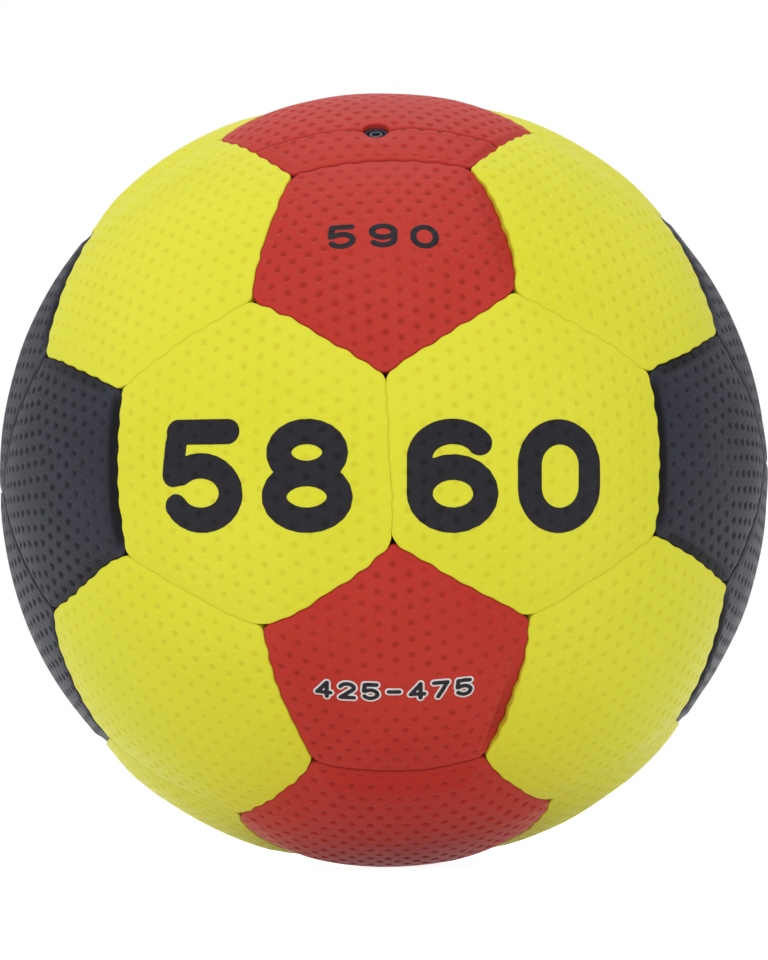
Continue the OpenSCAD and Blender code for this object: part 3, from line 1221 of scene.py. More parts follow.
def numerals(w: float, h: float) -> dict[str, list[list[Array]]]:
    """The middle lines of the plain numerals that the prints use.

    Args:
        w: the width of their box.
        h: its height.

    Returns:
        For each sign, the lines that a pen would draw, from arcs and from shares of the box.
    """
    m, top, low = w / 2, h * 0.27, h * 0.3

    def p(x: float, y: float) -> Array:
        """A point at shares of the box."""
        return np.array([x * w, y * h])

    return {
        "0": [arc(m, h - m, m, m, 0, 180) + arc(m, m, m, m, 180, 360) + [p(1, 1) - [0, m]]],
        "2": [arc(m, h - top, m, top, 165, -35) + [p(0.02, 0), p(1, 0)]],
        "4": [[p(0.72, 0), p(0.72, 1), p(0, 0.28), p(1, 0.28)]],
        "5": [[p(0.94, 1), p(0.08, 1), p(0.02, 0.52)] + arc(m, low * 1.03, m, low * 1.03, 132, -150)],
        "6": [arc(m, low, m, low, 0, 360), [p(0, 0.3), p(0, 0.6)] + arc(m, h - low, m, low, 180, 35)],
        "7": [[p(0, 1), p(1, 1), p(0.3, 0)]],
        "8": [
            arc(m, h - top * 0.88, m * 0.86, top * 0.88, 0, 360),
            arc(m, low * 0.88, m, low * 0.88, 0, 360),
        ],
        "9": [arc(m, h - low, m, low, 0, 360), [p(1, 0.7), p(1, 0.4)] + arc(m, low, m, low, 0, -145)],
        "-": [[p(0.12, 0.5), p(0.88, 0.5)]],
    }


@dataclass(frozen=True)
class Type:
    """How large a print's numerals are, how far apart, how bold, and how fine their grid is."""

    height: float
    width: float
    gap: float
    stroke: float
    cell: float


LARGE_TYPE = Type(height=26.0, width=21.0, gap=4.6, stroke=5.8, cell=0.3)
SMALL_TYPE = Type(height=7.0, width=6.6, gap=2.9, stroke=1.45, cell=0.2)
FINE_TYPE = Type(height=4.7, width=4.1, gap=1.25, stroke=1.0, cell=0.2)


@dataclass
class Print:
    """A screen print of plain numerals: a thin film of ink that follows the leather.

    It lifts off the leather by its thickness and is rooted in it.
    """

    panel: Panel
    text: str
    type: Type
    middle: Array
    up: Array
    grow: float = 0.0
    lift: float = 0.07
    root: float = 0.15
    margin: float = 1.0

    def distance(self, x: Array, y: Array) -> Array:
        """Distance from the edge of the nearest numeral: that to its middle line less half a stroke.

        Args:
            x: across the print, from its middle.
            y: up the print, from its middle.

        Returns:
            Distances in millimetres, below zero inside a numeral.
        """
        form = self.type
        h = form.height - form.stroke
        shapes = numerals(form.width - form.stroke, h)
        wide = len(self.text) * form.width + (len(self.text) - 1) * form.gap
        best = np.full(x.shape, np.inf)
        for i, sign in enumerate(self.text):
            left = -wide / 2 + i * (form.width + form.gap) + form.stroke / 2
            for line in shapes[sign]:
                for a, b in zip(line[:-1], line[1:]):
                    ax, ay = a[0] + left, a[1] - h / 2
                    dx, dy = b - a
                    size = max(dx * dx + dy * dy, 1e-9)
                    t = np.clip(((x - ax) * dx + (y - ay) * dy) / size, 0, 1)
                    best = np.minimum(best, np.hypot(x - ax - t * dx, y - ay - t * dy))
        return best - form.stroke / 2 - self.grow

    @staticmethod
    def cut(xy: Array, cells: Array, far: Array) -> tuple[Array, Array]:
        """Cuts triangles along the line where a distance is zero, and keeps what lies below it.

        The line crosses a side a-b of a triangle at the share far_a / (far_a - far_b).

        Args:
            xy: the points of a grid.
            cells: its triangles.
            far: the distance at each point.

        Returns:
            The points and triangles that are left.
        """
        inside = far[cells] < 0
        count = inside.sum(1)

        def turned(some: Array, lone: Array) -> Array:
            """Triangles with the point that lies alone on its side of the line put first."""
            return np.take_along_axis(some, (lone.argmax(1)[:, None] + [0, 1, 2]) % 3, axis=1)

        one = turned(cells[count == 1], inside[count == 1])
        two = turned(cells[count == 2], ~inside[count == 2])
        sides = np.concatenate([one[:, [0, 1]], one[:, [0, 2]], two[:, [0, 1]], two[:, [0, 2]]])
        sides, which = np.unique(np.sort(sides, 1), axis=0, return_inverse=True)
        share = (far[sides[:, 0]] / (far[sides[:, 0]] - far[sides[:, 1]]))[:, None]
        ends = np.cumsum([len(one), len(one), len(two)])
        b, c, e, f = np.split(len(xy) + which.ravel(), ends)
        parts = [(one[:, 0], b, c), (e, two[:, 1], two[:, 2]), (e, two[:, 2], f)]
        triangles = np.concatenate([cells[count == 3], *(np.stack(part, 1) for part in parts)])
        points = np.concatenate([xy, xy[sides[:, 0]] * (1 - share) + xy[sides[:, 1]] * share])
        used, triangles = np.unique(triangles, return_inverse=True)
        return points[used], triangles.reshape(-1, 3)

    def surface(self) -> Surface:
        """Cuts the numerals out of a fine grid and lays them on the leather.

        Returns:
            A closed film, whose underside lies in the leather.
        """
        form, p = self.type, self.panel
        wide = len(self.text) * (form.width + form.gap) / 2 + self.margin
        high = form.height / 2 + self.margin
        x, y = np.meshgrid(np.arange(-wide, wide, form.cell), np.arange(-high, high, form.cell))
        number = np.arange(x.size).reshape(x.shape)
        a, b, c, d = number[:-1, :-1], number[:-1, 1:], number[1:, 1:], number[1:, :-1]
        cells = np.concatenate([np.stack([a, b, c], -1), np.stack([a, c, d], -1)]).reshape(-1, 3)
        xy, top = self.cut(np.stack([x.ravel(), y.ravel()], 1), cells, self.distance(x, y).ravel())
        off = np.hypot(*xy.T)
        out = xy[:, :1] * np.cross(self.up, self.middle) + xy[:, 1:] * self.up
        way = swing(self.middle, out / np.maximum(off, 1e-9)[:, None], off / BALL.radius)
        t, lattice = p.from_seam(way), p.lattice(way)
        level = p.height(way, t, lattice) - p.rolled(t)
        # The share of painted shade in the dimples under the ink
        dip_shade = p.bowl(lattice) * p.pressed(way, t, lattice)
        heights = [level + self.lift, level - self.root]
        edges = sides_of(top)
        _, first, uses = np.unique(np.sort(edges, 1), axis=0, return_index=True, return_counts=True)
        (a, b), under = edges[first[uses == 1]].T, len(way)
        wall = [np.stack([b, a, a + under], 1), np.stack([b, a + under, b + under], 1)]
        faces = np.concatenate([top, top[:, ::-1] + under, *wall])
        points = np.concatenate([way * h[:, None] for h in heights])
        return Surface(points, faces, values={"dip_shade": np.tile(dip_shade, 2)})


def linear(code: str) -> tuple[float, float, float, float]:
    """Turns an sRGB colour such as #e2e53c into linear light.

    Args:
        code: a hash and six hexadecimal digits.

    Returns:
        Red, green, blue and 1.
    """
    parts = [int(code[i : i + 2], 16) / 255 for i in (1, 3, 5)]
    lit = [c / 12.92 if c <= 0.04045 else ((c + 0.055) / 1.055) ** 2.4 for c in parts]
    return (*lit, 1.0)


WHITE = linear("#ffffff")
SOFT = {"interpolation_type": "SMOOTHSTEP"}
COLOURS = {"data_type": "RGBA", "out": 2}


@dataclass
class Tree:
    """The nodes of a material or of the world, and the one way of adding them."""

    owner: bpy.types.Material | bpy.types.World

    def __post_init__(self) -> None:
        """Clears the nodes that Blender starts with."""
        self.owner.use_nodes = True
        self.owner.node_tree.nodes.clear()

    def add(self, kind: str, inputs: dict | tuple = (), out: int | str = 0, **settings: object) -> Socket:
        """Adds a node with its settings and links.

        Args:
            kind: Blender's name of the node without ShaderNode.
            inputs: for each socket, in order or by name, a value or the socket that feeds it.
            out: which of its outputs is wanted.
            settings: properties of the node itself.

        Returns:
            That output, or nothing where the node has none.
        """
        node = self.owner.node_tree.nodes.new("ShaderNode" + kind)
        for name, value in settings.items():
            setattr(node, name, value)
        for name, value in (inputs.items() if isinstance(inputs, dict) else enumerate(inputs)):
            if isinstance(value, Socket):
                self.owner.node_tree.links.new(value, node.inputs[name])
            else:
                node.inputs[name].default_value = value
        return node.outputs[out] if node.outputs else None

    def layered(self, ground: str, layers: list[tuple[Socket, str]]) -> Socket:
        """A colour with others laid over it, each by its share from 0 to 1.

        Args:
            ground: the first colour's sRGB code.
            layers: a share and a code for each of the others.

        Returns:
            The resulting colour.
        """
        colour = linear(ground)
        for share, code in layers:
            colour = self.add("Mix", {0: share, 6: colour, 7: linear(code)}, **COLOURS)
        return colour

    def seen_by(self, *rays: str) -> Socket:
        """Tells rays of some kinds from all others.

        Args:
            rays: the kinds, such as Is Camera Ray.

        Returns:
            The value 1 for these rays and 0 for others.
        """
        found = [self.add("LightPath", out=ray) for ray in rays]
        while len(found) > 1:
            found.append(self.add("Math", (found.pop(), found.pop()), operation="MAXIMUM"))
        return found[0]


@dataclass(frozen=True)
class Leather:
    """Embossed synthetic leather: matte, with fine pores, and dimples painted a little darker as shade.

    Deep is the tone of its pores, and of the shade painted into its dimples, by its seams and in
    its tucked flanks; worn is that of rubbed places. The pores lie about half a millimetre apart.
    """

    name: str
    colour: str
    deep: str
    worn: str
    core_shade_share: float
    grain: float
    line: float
    specular: float
    roughness: float = 0.52
    ior: float = 1.48
    rim_height: float = 0.04
    sides: int = 6

    def for_panel(self, sides: int) -> "Leather":
        """The same leather with the dimples of a panel of so many sides."""
        return replace(self, name=f"{self.name}_{sides}", sides=sides)

    def material(self) -> bpy.types.Material:
        """Builds the nodes: the dimples' lattice, slow tones, pores, painted shade in the dimples, by the
        seam and in the tucked flanks, and the parting line.

        Returns:
            The finished material.
        """
        tree = Tree(bpy.data.materials.new(self.name))
        add = tree.add
        step, row = EMBOSS[self.sides].step(self.sides), EMBOSS[self.sides].row_gap
        cell = add("VectorMath", (add("UVMap", uv_map="Lattice"),), operation="FRACTION")
        dot = {"operation": "DOT_PRODUCT", "out": "Value"}
        across = add("VectorMath", (cell, (step / 2, -step / 2, 0)), **dot)
        place = add("CombineXYZ", (across, add("VectorMath", (cell, (row, row, 0)), **dot)))
        corners = ((0, 0, 0), (step / 2, row, 0), (-step / 2, row, 0), (0, 2 * row, 0))
        far = [add("VectorMath", (place, c), operation="DISTANCE", out="Value") for c in corners]
        while len(far) > 1:
            far.append(add("Math", (far.pop(), far.pop()), operation="MINIMUM"))
        far = far[0]
        times, plus = {"operation": "MULTIPLY"}, {"operation": "ADD"}
        strength, seam, flank = (
            add("Attribute", out="Fac", attribute_name=name) for name in ("emboss", "seam", "flank")
        )
        core = add("Math", (add("MapRange", (far, 1.05, 0.35), **SOFT), strength), **times)
        spot = add("TexCoord", out="Object")
        slow = add("TexNoise", {"Vector": spot, "Scale": 28.0, "Detail": 3.0})
        fine = add("TexNoise", {"Vector": spot, "Scale": 2600.0, "Detail": 2.0})
        pores = add("TexVoronoi", {"Vector": spot, "Scale": 1900.0})
        line = add("VectorMath", (spot, tuple(PARTING_AXIS)), **dot)
        off = add("Math", (line,), operation="ABSOLUTE")
        layers = [
            (add("MapRange", (slow, 0.3, 0.7), **SOFT), self.worn),
            # Painted shade: the dimples' cores darken towards the deep colour
            (add("Math", (core, self.core_shade_share), **times), self.deep),
            (add("MapRange", (fine, 0.3, 0.75, 0, self.grain), **SOFT), self.deep),
            # Painted shade: the leather darkens towards the deep colour within 0.7 mm of the seam
            (add("MapRange", (seam, 0.0, 0.7, 0.3, 0), **SOFT), self.deep),
            # Painted shade, nearly the deep colour, in the tucked flanks beside fuller panels
            (add("MapRange", (flank, 0.0, 0.8, 0, 0.95), **SOFT), self.deep),
            (add("MapRange", (off, 0.00045, 0.0001, 0, self.line), **SOFT), self.deep),
        ]
        rise, fall = (add("MapRange", (far, end, 1.3), **SOFT) for end in (0.9, 1.8))
        rim = add("Math", (add("Math", (rise, fall), **times), strength), **times)
        grain = add("Math", tuple(add("Math", (cells, 0.02), **times) for cells in (fine, pores)), **plus)
        relief = add("Math", (grain, add("Math", (rim, self.rim_height), **times)), **plus)
        rough = (slow, 0.3, 0.7, self.roughness - 0.04, self.roughness + 0.05)
        looks = {
            "Base Color": tree.layered(self.colour, layers),
            "Roughness": add("MapRange", rough, **SOFT),
            "Normal": add("Bump", {"Height": relief, "Strength": 1.0, "Distance": MM}),
            "IOR": self.ior,
            "Specular IOR Level": self.specular,
        }
        add("OutputMaterial", {"Surface": add("BsdfPrincipled", looks)})
        return tree.owner


@dataclass(frozen=True)
class Mottled:
    """A finish of one substance: two near colours in a noise of its own grain, and a bump, with painted
    shade in the dimples where dips is set.
    """

    name: str
    colour: str
    shade: str
    roughness: float
    scale: float
    bump: float
    ior: float = 1.5
    specular: float = 0.4
    cells: bool = False
    weave: float = 0.0
    dips: float = 0.0

    def material(self) -> bpy.types.Material:
        """Builds the nodes: noise or cells in the object's own place, or crossed threads.

        Returns:
            The finished material.
        """
        tree = Tree(bpy.data.materials.new(self.name))
        add = tree.add
        spot = add("TexCoord", out="Object")
        noise = height = add("TexNoise", {"Vector": spot, "Scale": self.scale, "Detail": 4.0})
        if self.cells:
            height = add("TexVoronoi", {"Vector": spot, "Scale": self.scale * 1.6})
        if self.weave:
            threads = {"Vector": spot, "Scale": self.weave}
            ways = [add("TexWave", threads, 1, bands_direction=way) for way in ("X", "Y")]
            height = add("Math", tuple(ways), operation="MAXIMUM")
        tones = (
            add("MapRange", (noise, 0.3, 0.7, 0, 0.6), **SOFT),
            add("MapRange", (height, 0.0, 0.6, 0.4, 0), **SOFT),
        )
        layers = [(add("Math", tones, operation="ADD"), self.shade)]
        # Painted shade: near black in the dimples under the ink, by the share dips
        if self.dips:
            dip_shade = add("Attribute", out="Fac", attribute_name="dip_shade")
            layers.append((add("Math", (dip_shade, self.dips), operation="MULTIPLY"), "#050506"))
        rough = (noise, 0.3, 0.7, self.roughness - 0.05, self.roughness + 0.05)
        looks = {
            "Base Color": tree.layered(self.colour, layers),
            "Roughness": add("MapRange", rough, **SOFT),
            "Normal": add("Bump", {"Height": height, "Strength": 0.6, "Distance": self.bump}),
            "IOR": self.ior,
            "Specular IOR Level": self.specular,
        }
        add("OutputMaterial", {"Surface": add("BsdfPrincipled", looks)})
        return tree.owner


# Fluorescent and plain synthetic leathers, matte, with a bright or a deep even colour
LEATHERS = {
    Cover.YELLOW: Leather(
        "leather_fluorescent_yellow", "#d8d830", "#cbba28", "#dddc3a", 0.46, 0.12, 0.4, 0.18
    ),
    Cover.RED: Leather("leather_signal_red", "#b62f26", "#7a160f", "#bd382e", 0.48, 0.16, 0.85, 0.14),
    Cover.CHARCOAL: Leather("leather_charcoal", "#2f3039", "#0d0d11", "#363842", 0.75, 0.45, 0.4, 0.12),
}
# A thin, slightly glossy plastic ink, with near-black shade painted into the dimples that it covers
INK = Mottled("ink_black_satin", "#211f26", "#17151b", 0.5, 900.0, 0.00002, specular=0.15, dips=0.8)
PALE_INK = Mottled("ink_white_satin", "#dcdcdc", "#c8c8cc", 0.45, 900.0, 0.00002)
# Cream open-cell latex foam, dull and full of small cells
FOAM = Mottled("foam_latex_cream", "#ebe4cc", "#cfc5a6", 0.95, 900.0, 0.0002, cells=True)
# Waxed polyester thread, with the faint gloss of its wax
THREAD = Mottled("thread_waxed_white", "#f3f0e6", "#d6d0bf", 0.5, 1500.0, 0.00008)
# Plain-woven cotton, matte, with threads half a millimetre apart
CLOTH = Mottled("cloth_cotton_woven", "#efece2", "#cfc9b8", 0.9, 300.0, 0.0001, weave=640.0)
# Moulded rubber: the bladder's butyl and the blue-grey of the valve
BLADDER = Mottled("rubber_butyl_black", "#2b2c30", "#222327", 0.5, 120.0, 0.00005, ior=1.52)
NOSE = Mottled("rubber_valve_blue_grey", "#2a2d3d", "#1f212d", 0.42, 700.0, 0.00003, 1.52, 0.2)
PLUG = Mottled("rubber_plug_grey", "#363948", "#262833", 0.36, 700.0, 0.00003, 1.52, 0.4)
Finish = Leather | Mottled


def show(name: str, data: bpy.types.ID) -> bpy.types.Object:
    """Puts an object with this mesh, lamp or camera into the scene, at the origin.

    Args:
        name: of the object.
        data: what it shows.

    Returns:
        The object.
    """
    thing = bpy.data.objects.new(name, data)
    bpy.context.scene.collection.objects.link(thing)
    return thing


@dataclass
class Workshop:
    """Turns surfaces into pieces that ride on the ball, and keeps count of their triangles."""

    triangles: int = 0
    made: dict[str, bpy.types.Material] = field(default_factory=dict)

    def finish(self, recipe: Finish) -> bpy.types.Material:
        """Finds the material of a recipe, which is made once.

        Args:
            recipe: how it is made.

        Returns:
            The material.
        """
        if recipe.name not in self.made:
            self.made[recipe.name] = recipe.material()
        return self.made[recipe.name]

    def piece(
        self, name: str, surface: Surface, recipe: Finish, nodes: tuple[str, ...] = (), slot: str = ""
    ) -> bpy.types.Object:
        """Makes an object at the origin whose mesh is the surface in metres.

        Args:
            name: of the piece.
            surface: its points, triangles and values.
            recipe: its finish.
            nodes: the CAD nodes that it stands for.
            slot: the record's material slot, or none; not used.

        Returns:
            The object, which rides on the ball.
        """
        mesh, count = bpy.data.meshes.new(name), len(surface.triangles)
        mesh.vertices.add(len(surface.points))
        mesh.vertices.foreach_set("co", (surface.points * MM).astype(np.float32).ravel())
        mesh.loops.add(count * 3)
        mesh.loops.foreach_set("vertex_index", surface.triangles.astype(np.int32).ravel())
        mesh.polygons.add(count)
        mesh.polygons.foreach_set("loop_start", np.arange(0, count * 3, 3, dtype=np.int32))
        mesh.polygons.foreach_set("use_smooth", np.ones(count, bool))
        mesh.update(calc_edges=True)
        if surface.uv is not None:
            layer = mesh.uv_layers.new(name="Lattice")
            layer.data.foreach_set("uv", surface.uv.astype(np.float32).ravel())
        for key, values in surface.values.items():
            attribute = mesh.attributes.new(key, "FLOAT", "POINT")
            attribute.data.foreach_set("value", values.astype(np.float32))
        mesh.validate()
        mesh.materials.append(self.finish(recipe))
        piece = show(name, mesh)
        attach(piece, "root")
        if nodes:
            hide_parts(*nodes)
        self.triangles += count
        log.info("%s: %d triangles", name, count)
        return piece


@dataclass
class PhotoCamera:
    """The camera of the photograph: its place, its turn and its long lens, for 768 by 960 pixels."""

    distance: float = 1230.76
    focal: float = 5045.8
    turn: tuple[float, float, float] = (-0.0589, -0.0324, 0.0145)
    middle: tuple[float, float] = (384.16, 479.47)
    picture: tuple[int, int] = (768, 960)
    sensor: float = 36.0

    def axes(self) -> Array:
        """Rows that point to the right, away from the camera and up, in the ball's frame."""
        turn = Vector(self.turn)
        return np.array(Matrix.Rotation(turn.length, 3, turn))

    def sight(self, x: float, y: float, depth: float = 0.0) -> Array:
        """Finds what a pixel shows: the nearer point where its ray meets a sphere.

        Args:
            x: the pixel, across.
            y: the pixel, down.
            depth: how far below the ball's surface the sphere lies.

        Returns:
            The point's direction from the ball's centre.
        """
        right, away, up = self.axes()
        ray = away + right * (x - self.middle[0]) / self.focal - up * (y - self.middle[1]) / self.focal
        start, ray = -self.distance * away, unit(ray)
        b = start @ ray
        near = -b - math.sqrt(b * b - start @ start + (BALL.radius - depth) ** 2)
        return unit(start + near * ray)

    def upright(self, x: float, y: float, reach: float = 4.0) -> Array:
        """The direction on the ball, at a pixel's point, that looks upright in the picture.

        Args:
            x: the pixel, across.
            y: the pixel, down.
            reach: how far above and below it two other pixels give the direction.

        Returns:
            A direction square to that of the point.
        """
        way = self.sight(x, y - reach) - self.sight(x, y + reach)
        return unit(square_to(way, self.sight(x, y)))

    def build(self) -> None:
        """Makes the camera and gives it to the scene."""
        right, away, up = self.axes()
        scale = self.focal / self.distance
        place = -self.distance * away
        place -= right * (self.middle[0] - self.picture[0] / 2) / scale
        place += up * (self.middle[1] - self.picture[1] / 2) / scale
        data = bpy.data.cameras.new("camera")
        data.sensor_width = self.sensor
        data.lens = self.focal / max(self.picture) * self.sensor
        data.clip_start, data.clip_end = 0.05, 30
        camera = show("camera", data)
        turned = Matrix((right, up, -away)).transposed().to_4x4()
        camera.matrix_world = Matrix.Translation(Vector(place * MM)) @ turned
        bpy.context.scene.camera = camera


@dataclass(frozen=True)
class Lamp:
    """A square soft lamp that faces the ball: its place and size in metres, and its watts."""

    name: str
    place: tuple[float, float, float]
    size: float
    power: float

    def build(self) -> None:
        """Makes the lamp."""
        data = bpy.data.lights.new(self.name, "AREA")
        data.shape, data.size, data.energy = "SQUARE", self.size, self.power
        lamp = show(self.name, data)
        lamp.location = self.place
        lamp.rotation_euler = (-Vector(self.place)).to_track_quat("-Z", "Y").to_euler()


@dataclass
class Studio:
    """A white paper sweep and soft, even light, as for a catalogue picture.

    The sky lights the ball plainly and is white to the camera, as the floor is. The floor lies
    just below the ball's lowest swell.
    """

    sky: float = 0.62
    lamps: tuple[Lamp, ...] = (
        Lamp("key", (-0.5, -1.5, 1.7), 1.0, 13.0),
        Lamp("top", (0.0, 0.5, 1.9), 1.0, 6.0),
        Lamp("fill", (1.5, -1.5, 0.5), 1.4, 3.2),
        Lamp("low", (-0.4, -1.7, 0.1), 0.8, 2.9),
        Lamp("side", (-1.9, 0.1, 0.9), 1.0, 3.0),
    )
    floor_half: float = 6.0
    floor_drop: float = 0.0008
    floor_glow: float = 0.88

    def build(self) -> None:
        """Makes the world, the lamps and the floor."""
        world = bpy.context.scene.world = bpy.data.worlds.new("studio")
        tree = Tree(world)
        seen = tree.seen_by("Is Camera Ray", "Is Glossy Ray", "Is Transmission Ray")
        light, white = (tree.add("Background", (WHITE, strength)) for strength in (self.sky, 1.0))
        tree.add("OutputWorld", (tree.add("MixShader", (seen, light, white)),))
        for lamp in self.lamps:
            lamp.build()
        self.floor()

    def floor(self) -> None:
        """Makes the white floor that the ball rests on; it keeps the ball's soft shadow."""
        low = float(cad_box[0].z) - self.floor_drop
        mesh = bpy.data.meshes.new("floor")
        square = ((-1, -1), (1, -1), (1, 1), (-1, 1))
        corners = [(x * self.floor_half, y * self.floor_half, low) for x, y in square]
        mesh.from_pydata(corners, [], [(0, 1, 2, 3)])
        floor = show("floor", mesh)
        tree = Tree(bpy.data.materials.new("floor_white_paper"))
        spot = tree.add("TexCoord", out="Object")
        fibre = tree.add("TexNoise", {"Vector": spot, "Scale": 900.0})
        seen = tree.seen_by("Is Camera Ray", "Is Glossy Ray")
        paper = {
            "Base Color": tree.layered("#f6f6f6", [(fibre, "#fbfbfb")]),
            "Roughness": 1.0,
            "Emission Color": WHITE,
            "Emission Strength": tree.add("Math", (seen, self.floor_glow), operation="MULTIPLY"),
        }
        tree.add("OutputMaterial", {"Surface": tree.add("BsdfPrincipled", paper)})
        mesh.materials.append(tree.owner)
        floor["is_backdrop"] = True


# Where the photograph shows the corners that lie off their regular places, in its pixels
JUNCTIONS = {
    "valve_panel_left": (292.5, 177.5),
    "valve_panel_right": (468.5, 170.5),
    "valve_panel_far_left": (220.5, 141),
    "valve_panel_far_right": (532, 134.5),
    "upper_pentagon_left": (253.5, 301),
    "upper_pentagon_right": (513, 294),
    "upper_pentagon_tip": (385.5, 374.5),
    "lower_pentagon_tip": (392.5, 542),
    "lower_pentagon_left": (262, 627),
    "lower_pentagon_right": (527.5, 617),
    "lower_pentagon_low_left": (313.5, 759),
    "lower_pentagon_low_right": (484.5, 754),
    "bottom_hexagon_left": (240.5, 811.5),
    "bottom_hexagon_right": (549, 799),
    "charcoal_left_outer": (5, 490),
    "charcoal_left_top": (96.1, 232.4),
    "charcoal_left_high": (47.5, 355.5),
    "charcoal_left_low": (56, 611),
    "charcoal_left_inner": (126, 552.5),
    "charcoal_right_outer": (763.2, 460),
    "charcoal_right_top": (658.1, 216.8),
    "charcoal_right_high": (715.5, 334.5),
    "charcoal_right_low": (725, 583),
    "charcoal_right_inner": (654, 534),
}
# How deep such a corner lies below the ends of the crowns
JUNCTION_DEPTH = 0.6
# How far, in millimetres, a seam bows out of the first panel into the second
BOWS = {
    ("pentagon_front_upper", "hexagon_corner_front_right_upper"): 2.9,
    ("pentagon_front_upper", "hexagon_corner_front_left_upper"): 0.9,
    ("pentagon_front_upper", "valve_panel"): 1.8,
    ("pentagon_front_upper", "hexagon_front_right"): 0.2,
    ("valve_panel", "hexagon_corner_front_left_upper"): 0.5,
    ("pentagon_front_lower", "hexagon_front_left"): -1.6,
    ("pentagon_front_lower", "hexagon_corner_front_left_lower"): 0.7,
    ("pentagon_front_lower", "hexagon_corner_front_right_lower"): 1.8,
    ("pentagon_front_lower", "hexagon_bottom_front"): 2.4,
    ("hexagon_front_right", "pentagon_right_front"): 0.6,
    ("hexagon_bottom_front", "hexagon_corner_front_left_lower"): -1.2,
    ("hexagon_bottom_front", "hexagon_corner_front_right_lower"): -1.9,
    ("hexagon_bottom_front", "pentagon_bottom_left"): 4.2,
    ("hexagon_bottom_front", "pentagon_bottom_right"): 3.0,
    ("hexagon_corner_front_left_lower", "hexagon_left_lower"): 3.0,
}
# Where a fuller panel stands over its neighbour: how far, in millimetres, the first one dips, and
# by what share more towards the end of the seam than in its middle
TUCKS = {
    ("pentagon_front_upper", "hexagon_corner_front_right_upper"): (1.0, 0.0),
    ("pentagon_front_lower", "hexagon_corner_front_right_lower"): (1.1, -0.9),
    ("pentagon_left_front", "hexagon_front_left"): (1.6, 0.0),
    ("pentagon_right_front", "hexagon_front_right"): (1.5, 0.0),
    ("pentagon_right_front", "hexagon_corner_front_right_lower"): (1.0, 0.0),
    ("pentagon_right_front", "hexagon_corner_front_right_upper"): (0.7, 0.0),
    ("valve_panel", "hexagon_corner_front_right_upper"): (0.8, 0.0),
    ("hexagon_left_lower", "hexagon_corner_front_left_lower"): (1.4, 0.0),
    ("hexagon_left_upper", "hexagon_corner_front_left_upper"): (1.0, 0.0),
    ("hexagon_right_lower", "hexagon_corner_front_right_lower"): (1.4, 0.0),
}
# The way in which each word of a panel's name lies
WORDS = {
    "left": (-1, 0, 0),
    "right": (1, 0, 0),
    "front": (0, -1, 0),
    "back": (0, 1, 0),
    "bottom": (0, 0, -1),
    "lower": (0, 0, -1),
    "top": (0, 0, 1),
    "upper": (0, 0, 1),
}
# Families of panels: the words of their names, how far the middle lies along each, and the swell
FIVE, SIX = (GOLDEN, 1), (GOLDEN, 1 / GOLDEN)
FAMILIES = [
    ("pentagon", "front back", "upper lower", FIVE, Cover.RED, 0.3),
    ("pentagon", "left right", "front back", FIVE, Cover.CHARCOAL, 0.1),
    ("pentagon", "top bottom", "left right", FIVE, Cover.YELLOW, 0.3),
    ("hexagon", "top bottom", "front back", SIX, Cover.RED, 0.3),
    ("hexagon", "left right", "upper lower", SIX, Cover.CHARCOAL, -0.1),
    ("hexagon", "front back", "left right", SIX, Cover.YELLOW, 0.2),
    *(
        ("hexagon_corner", depth, "left right", level, (1, 1, 1), Cover.YELLOW, 0.3)
        for depth, level in product(("front", "back"), ("upper", "lower"))
    ),
]
# Panels that are fuller or slacker than their family
SWELLS = {
    "pentagon_top_left": 0.8,
    "pentagon_bottom_left": 0.6,
    "hexagon_bottom_front": 0.9,
    "hexagon_right_upper": -0.6,
    "hexagon_right_lower": -0.6,
}
# The place in the cover that the panel with the valve takes
VALVE_PLACE = "hexagon_top_front"


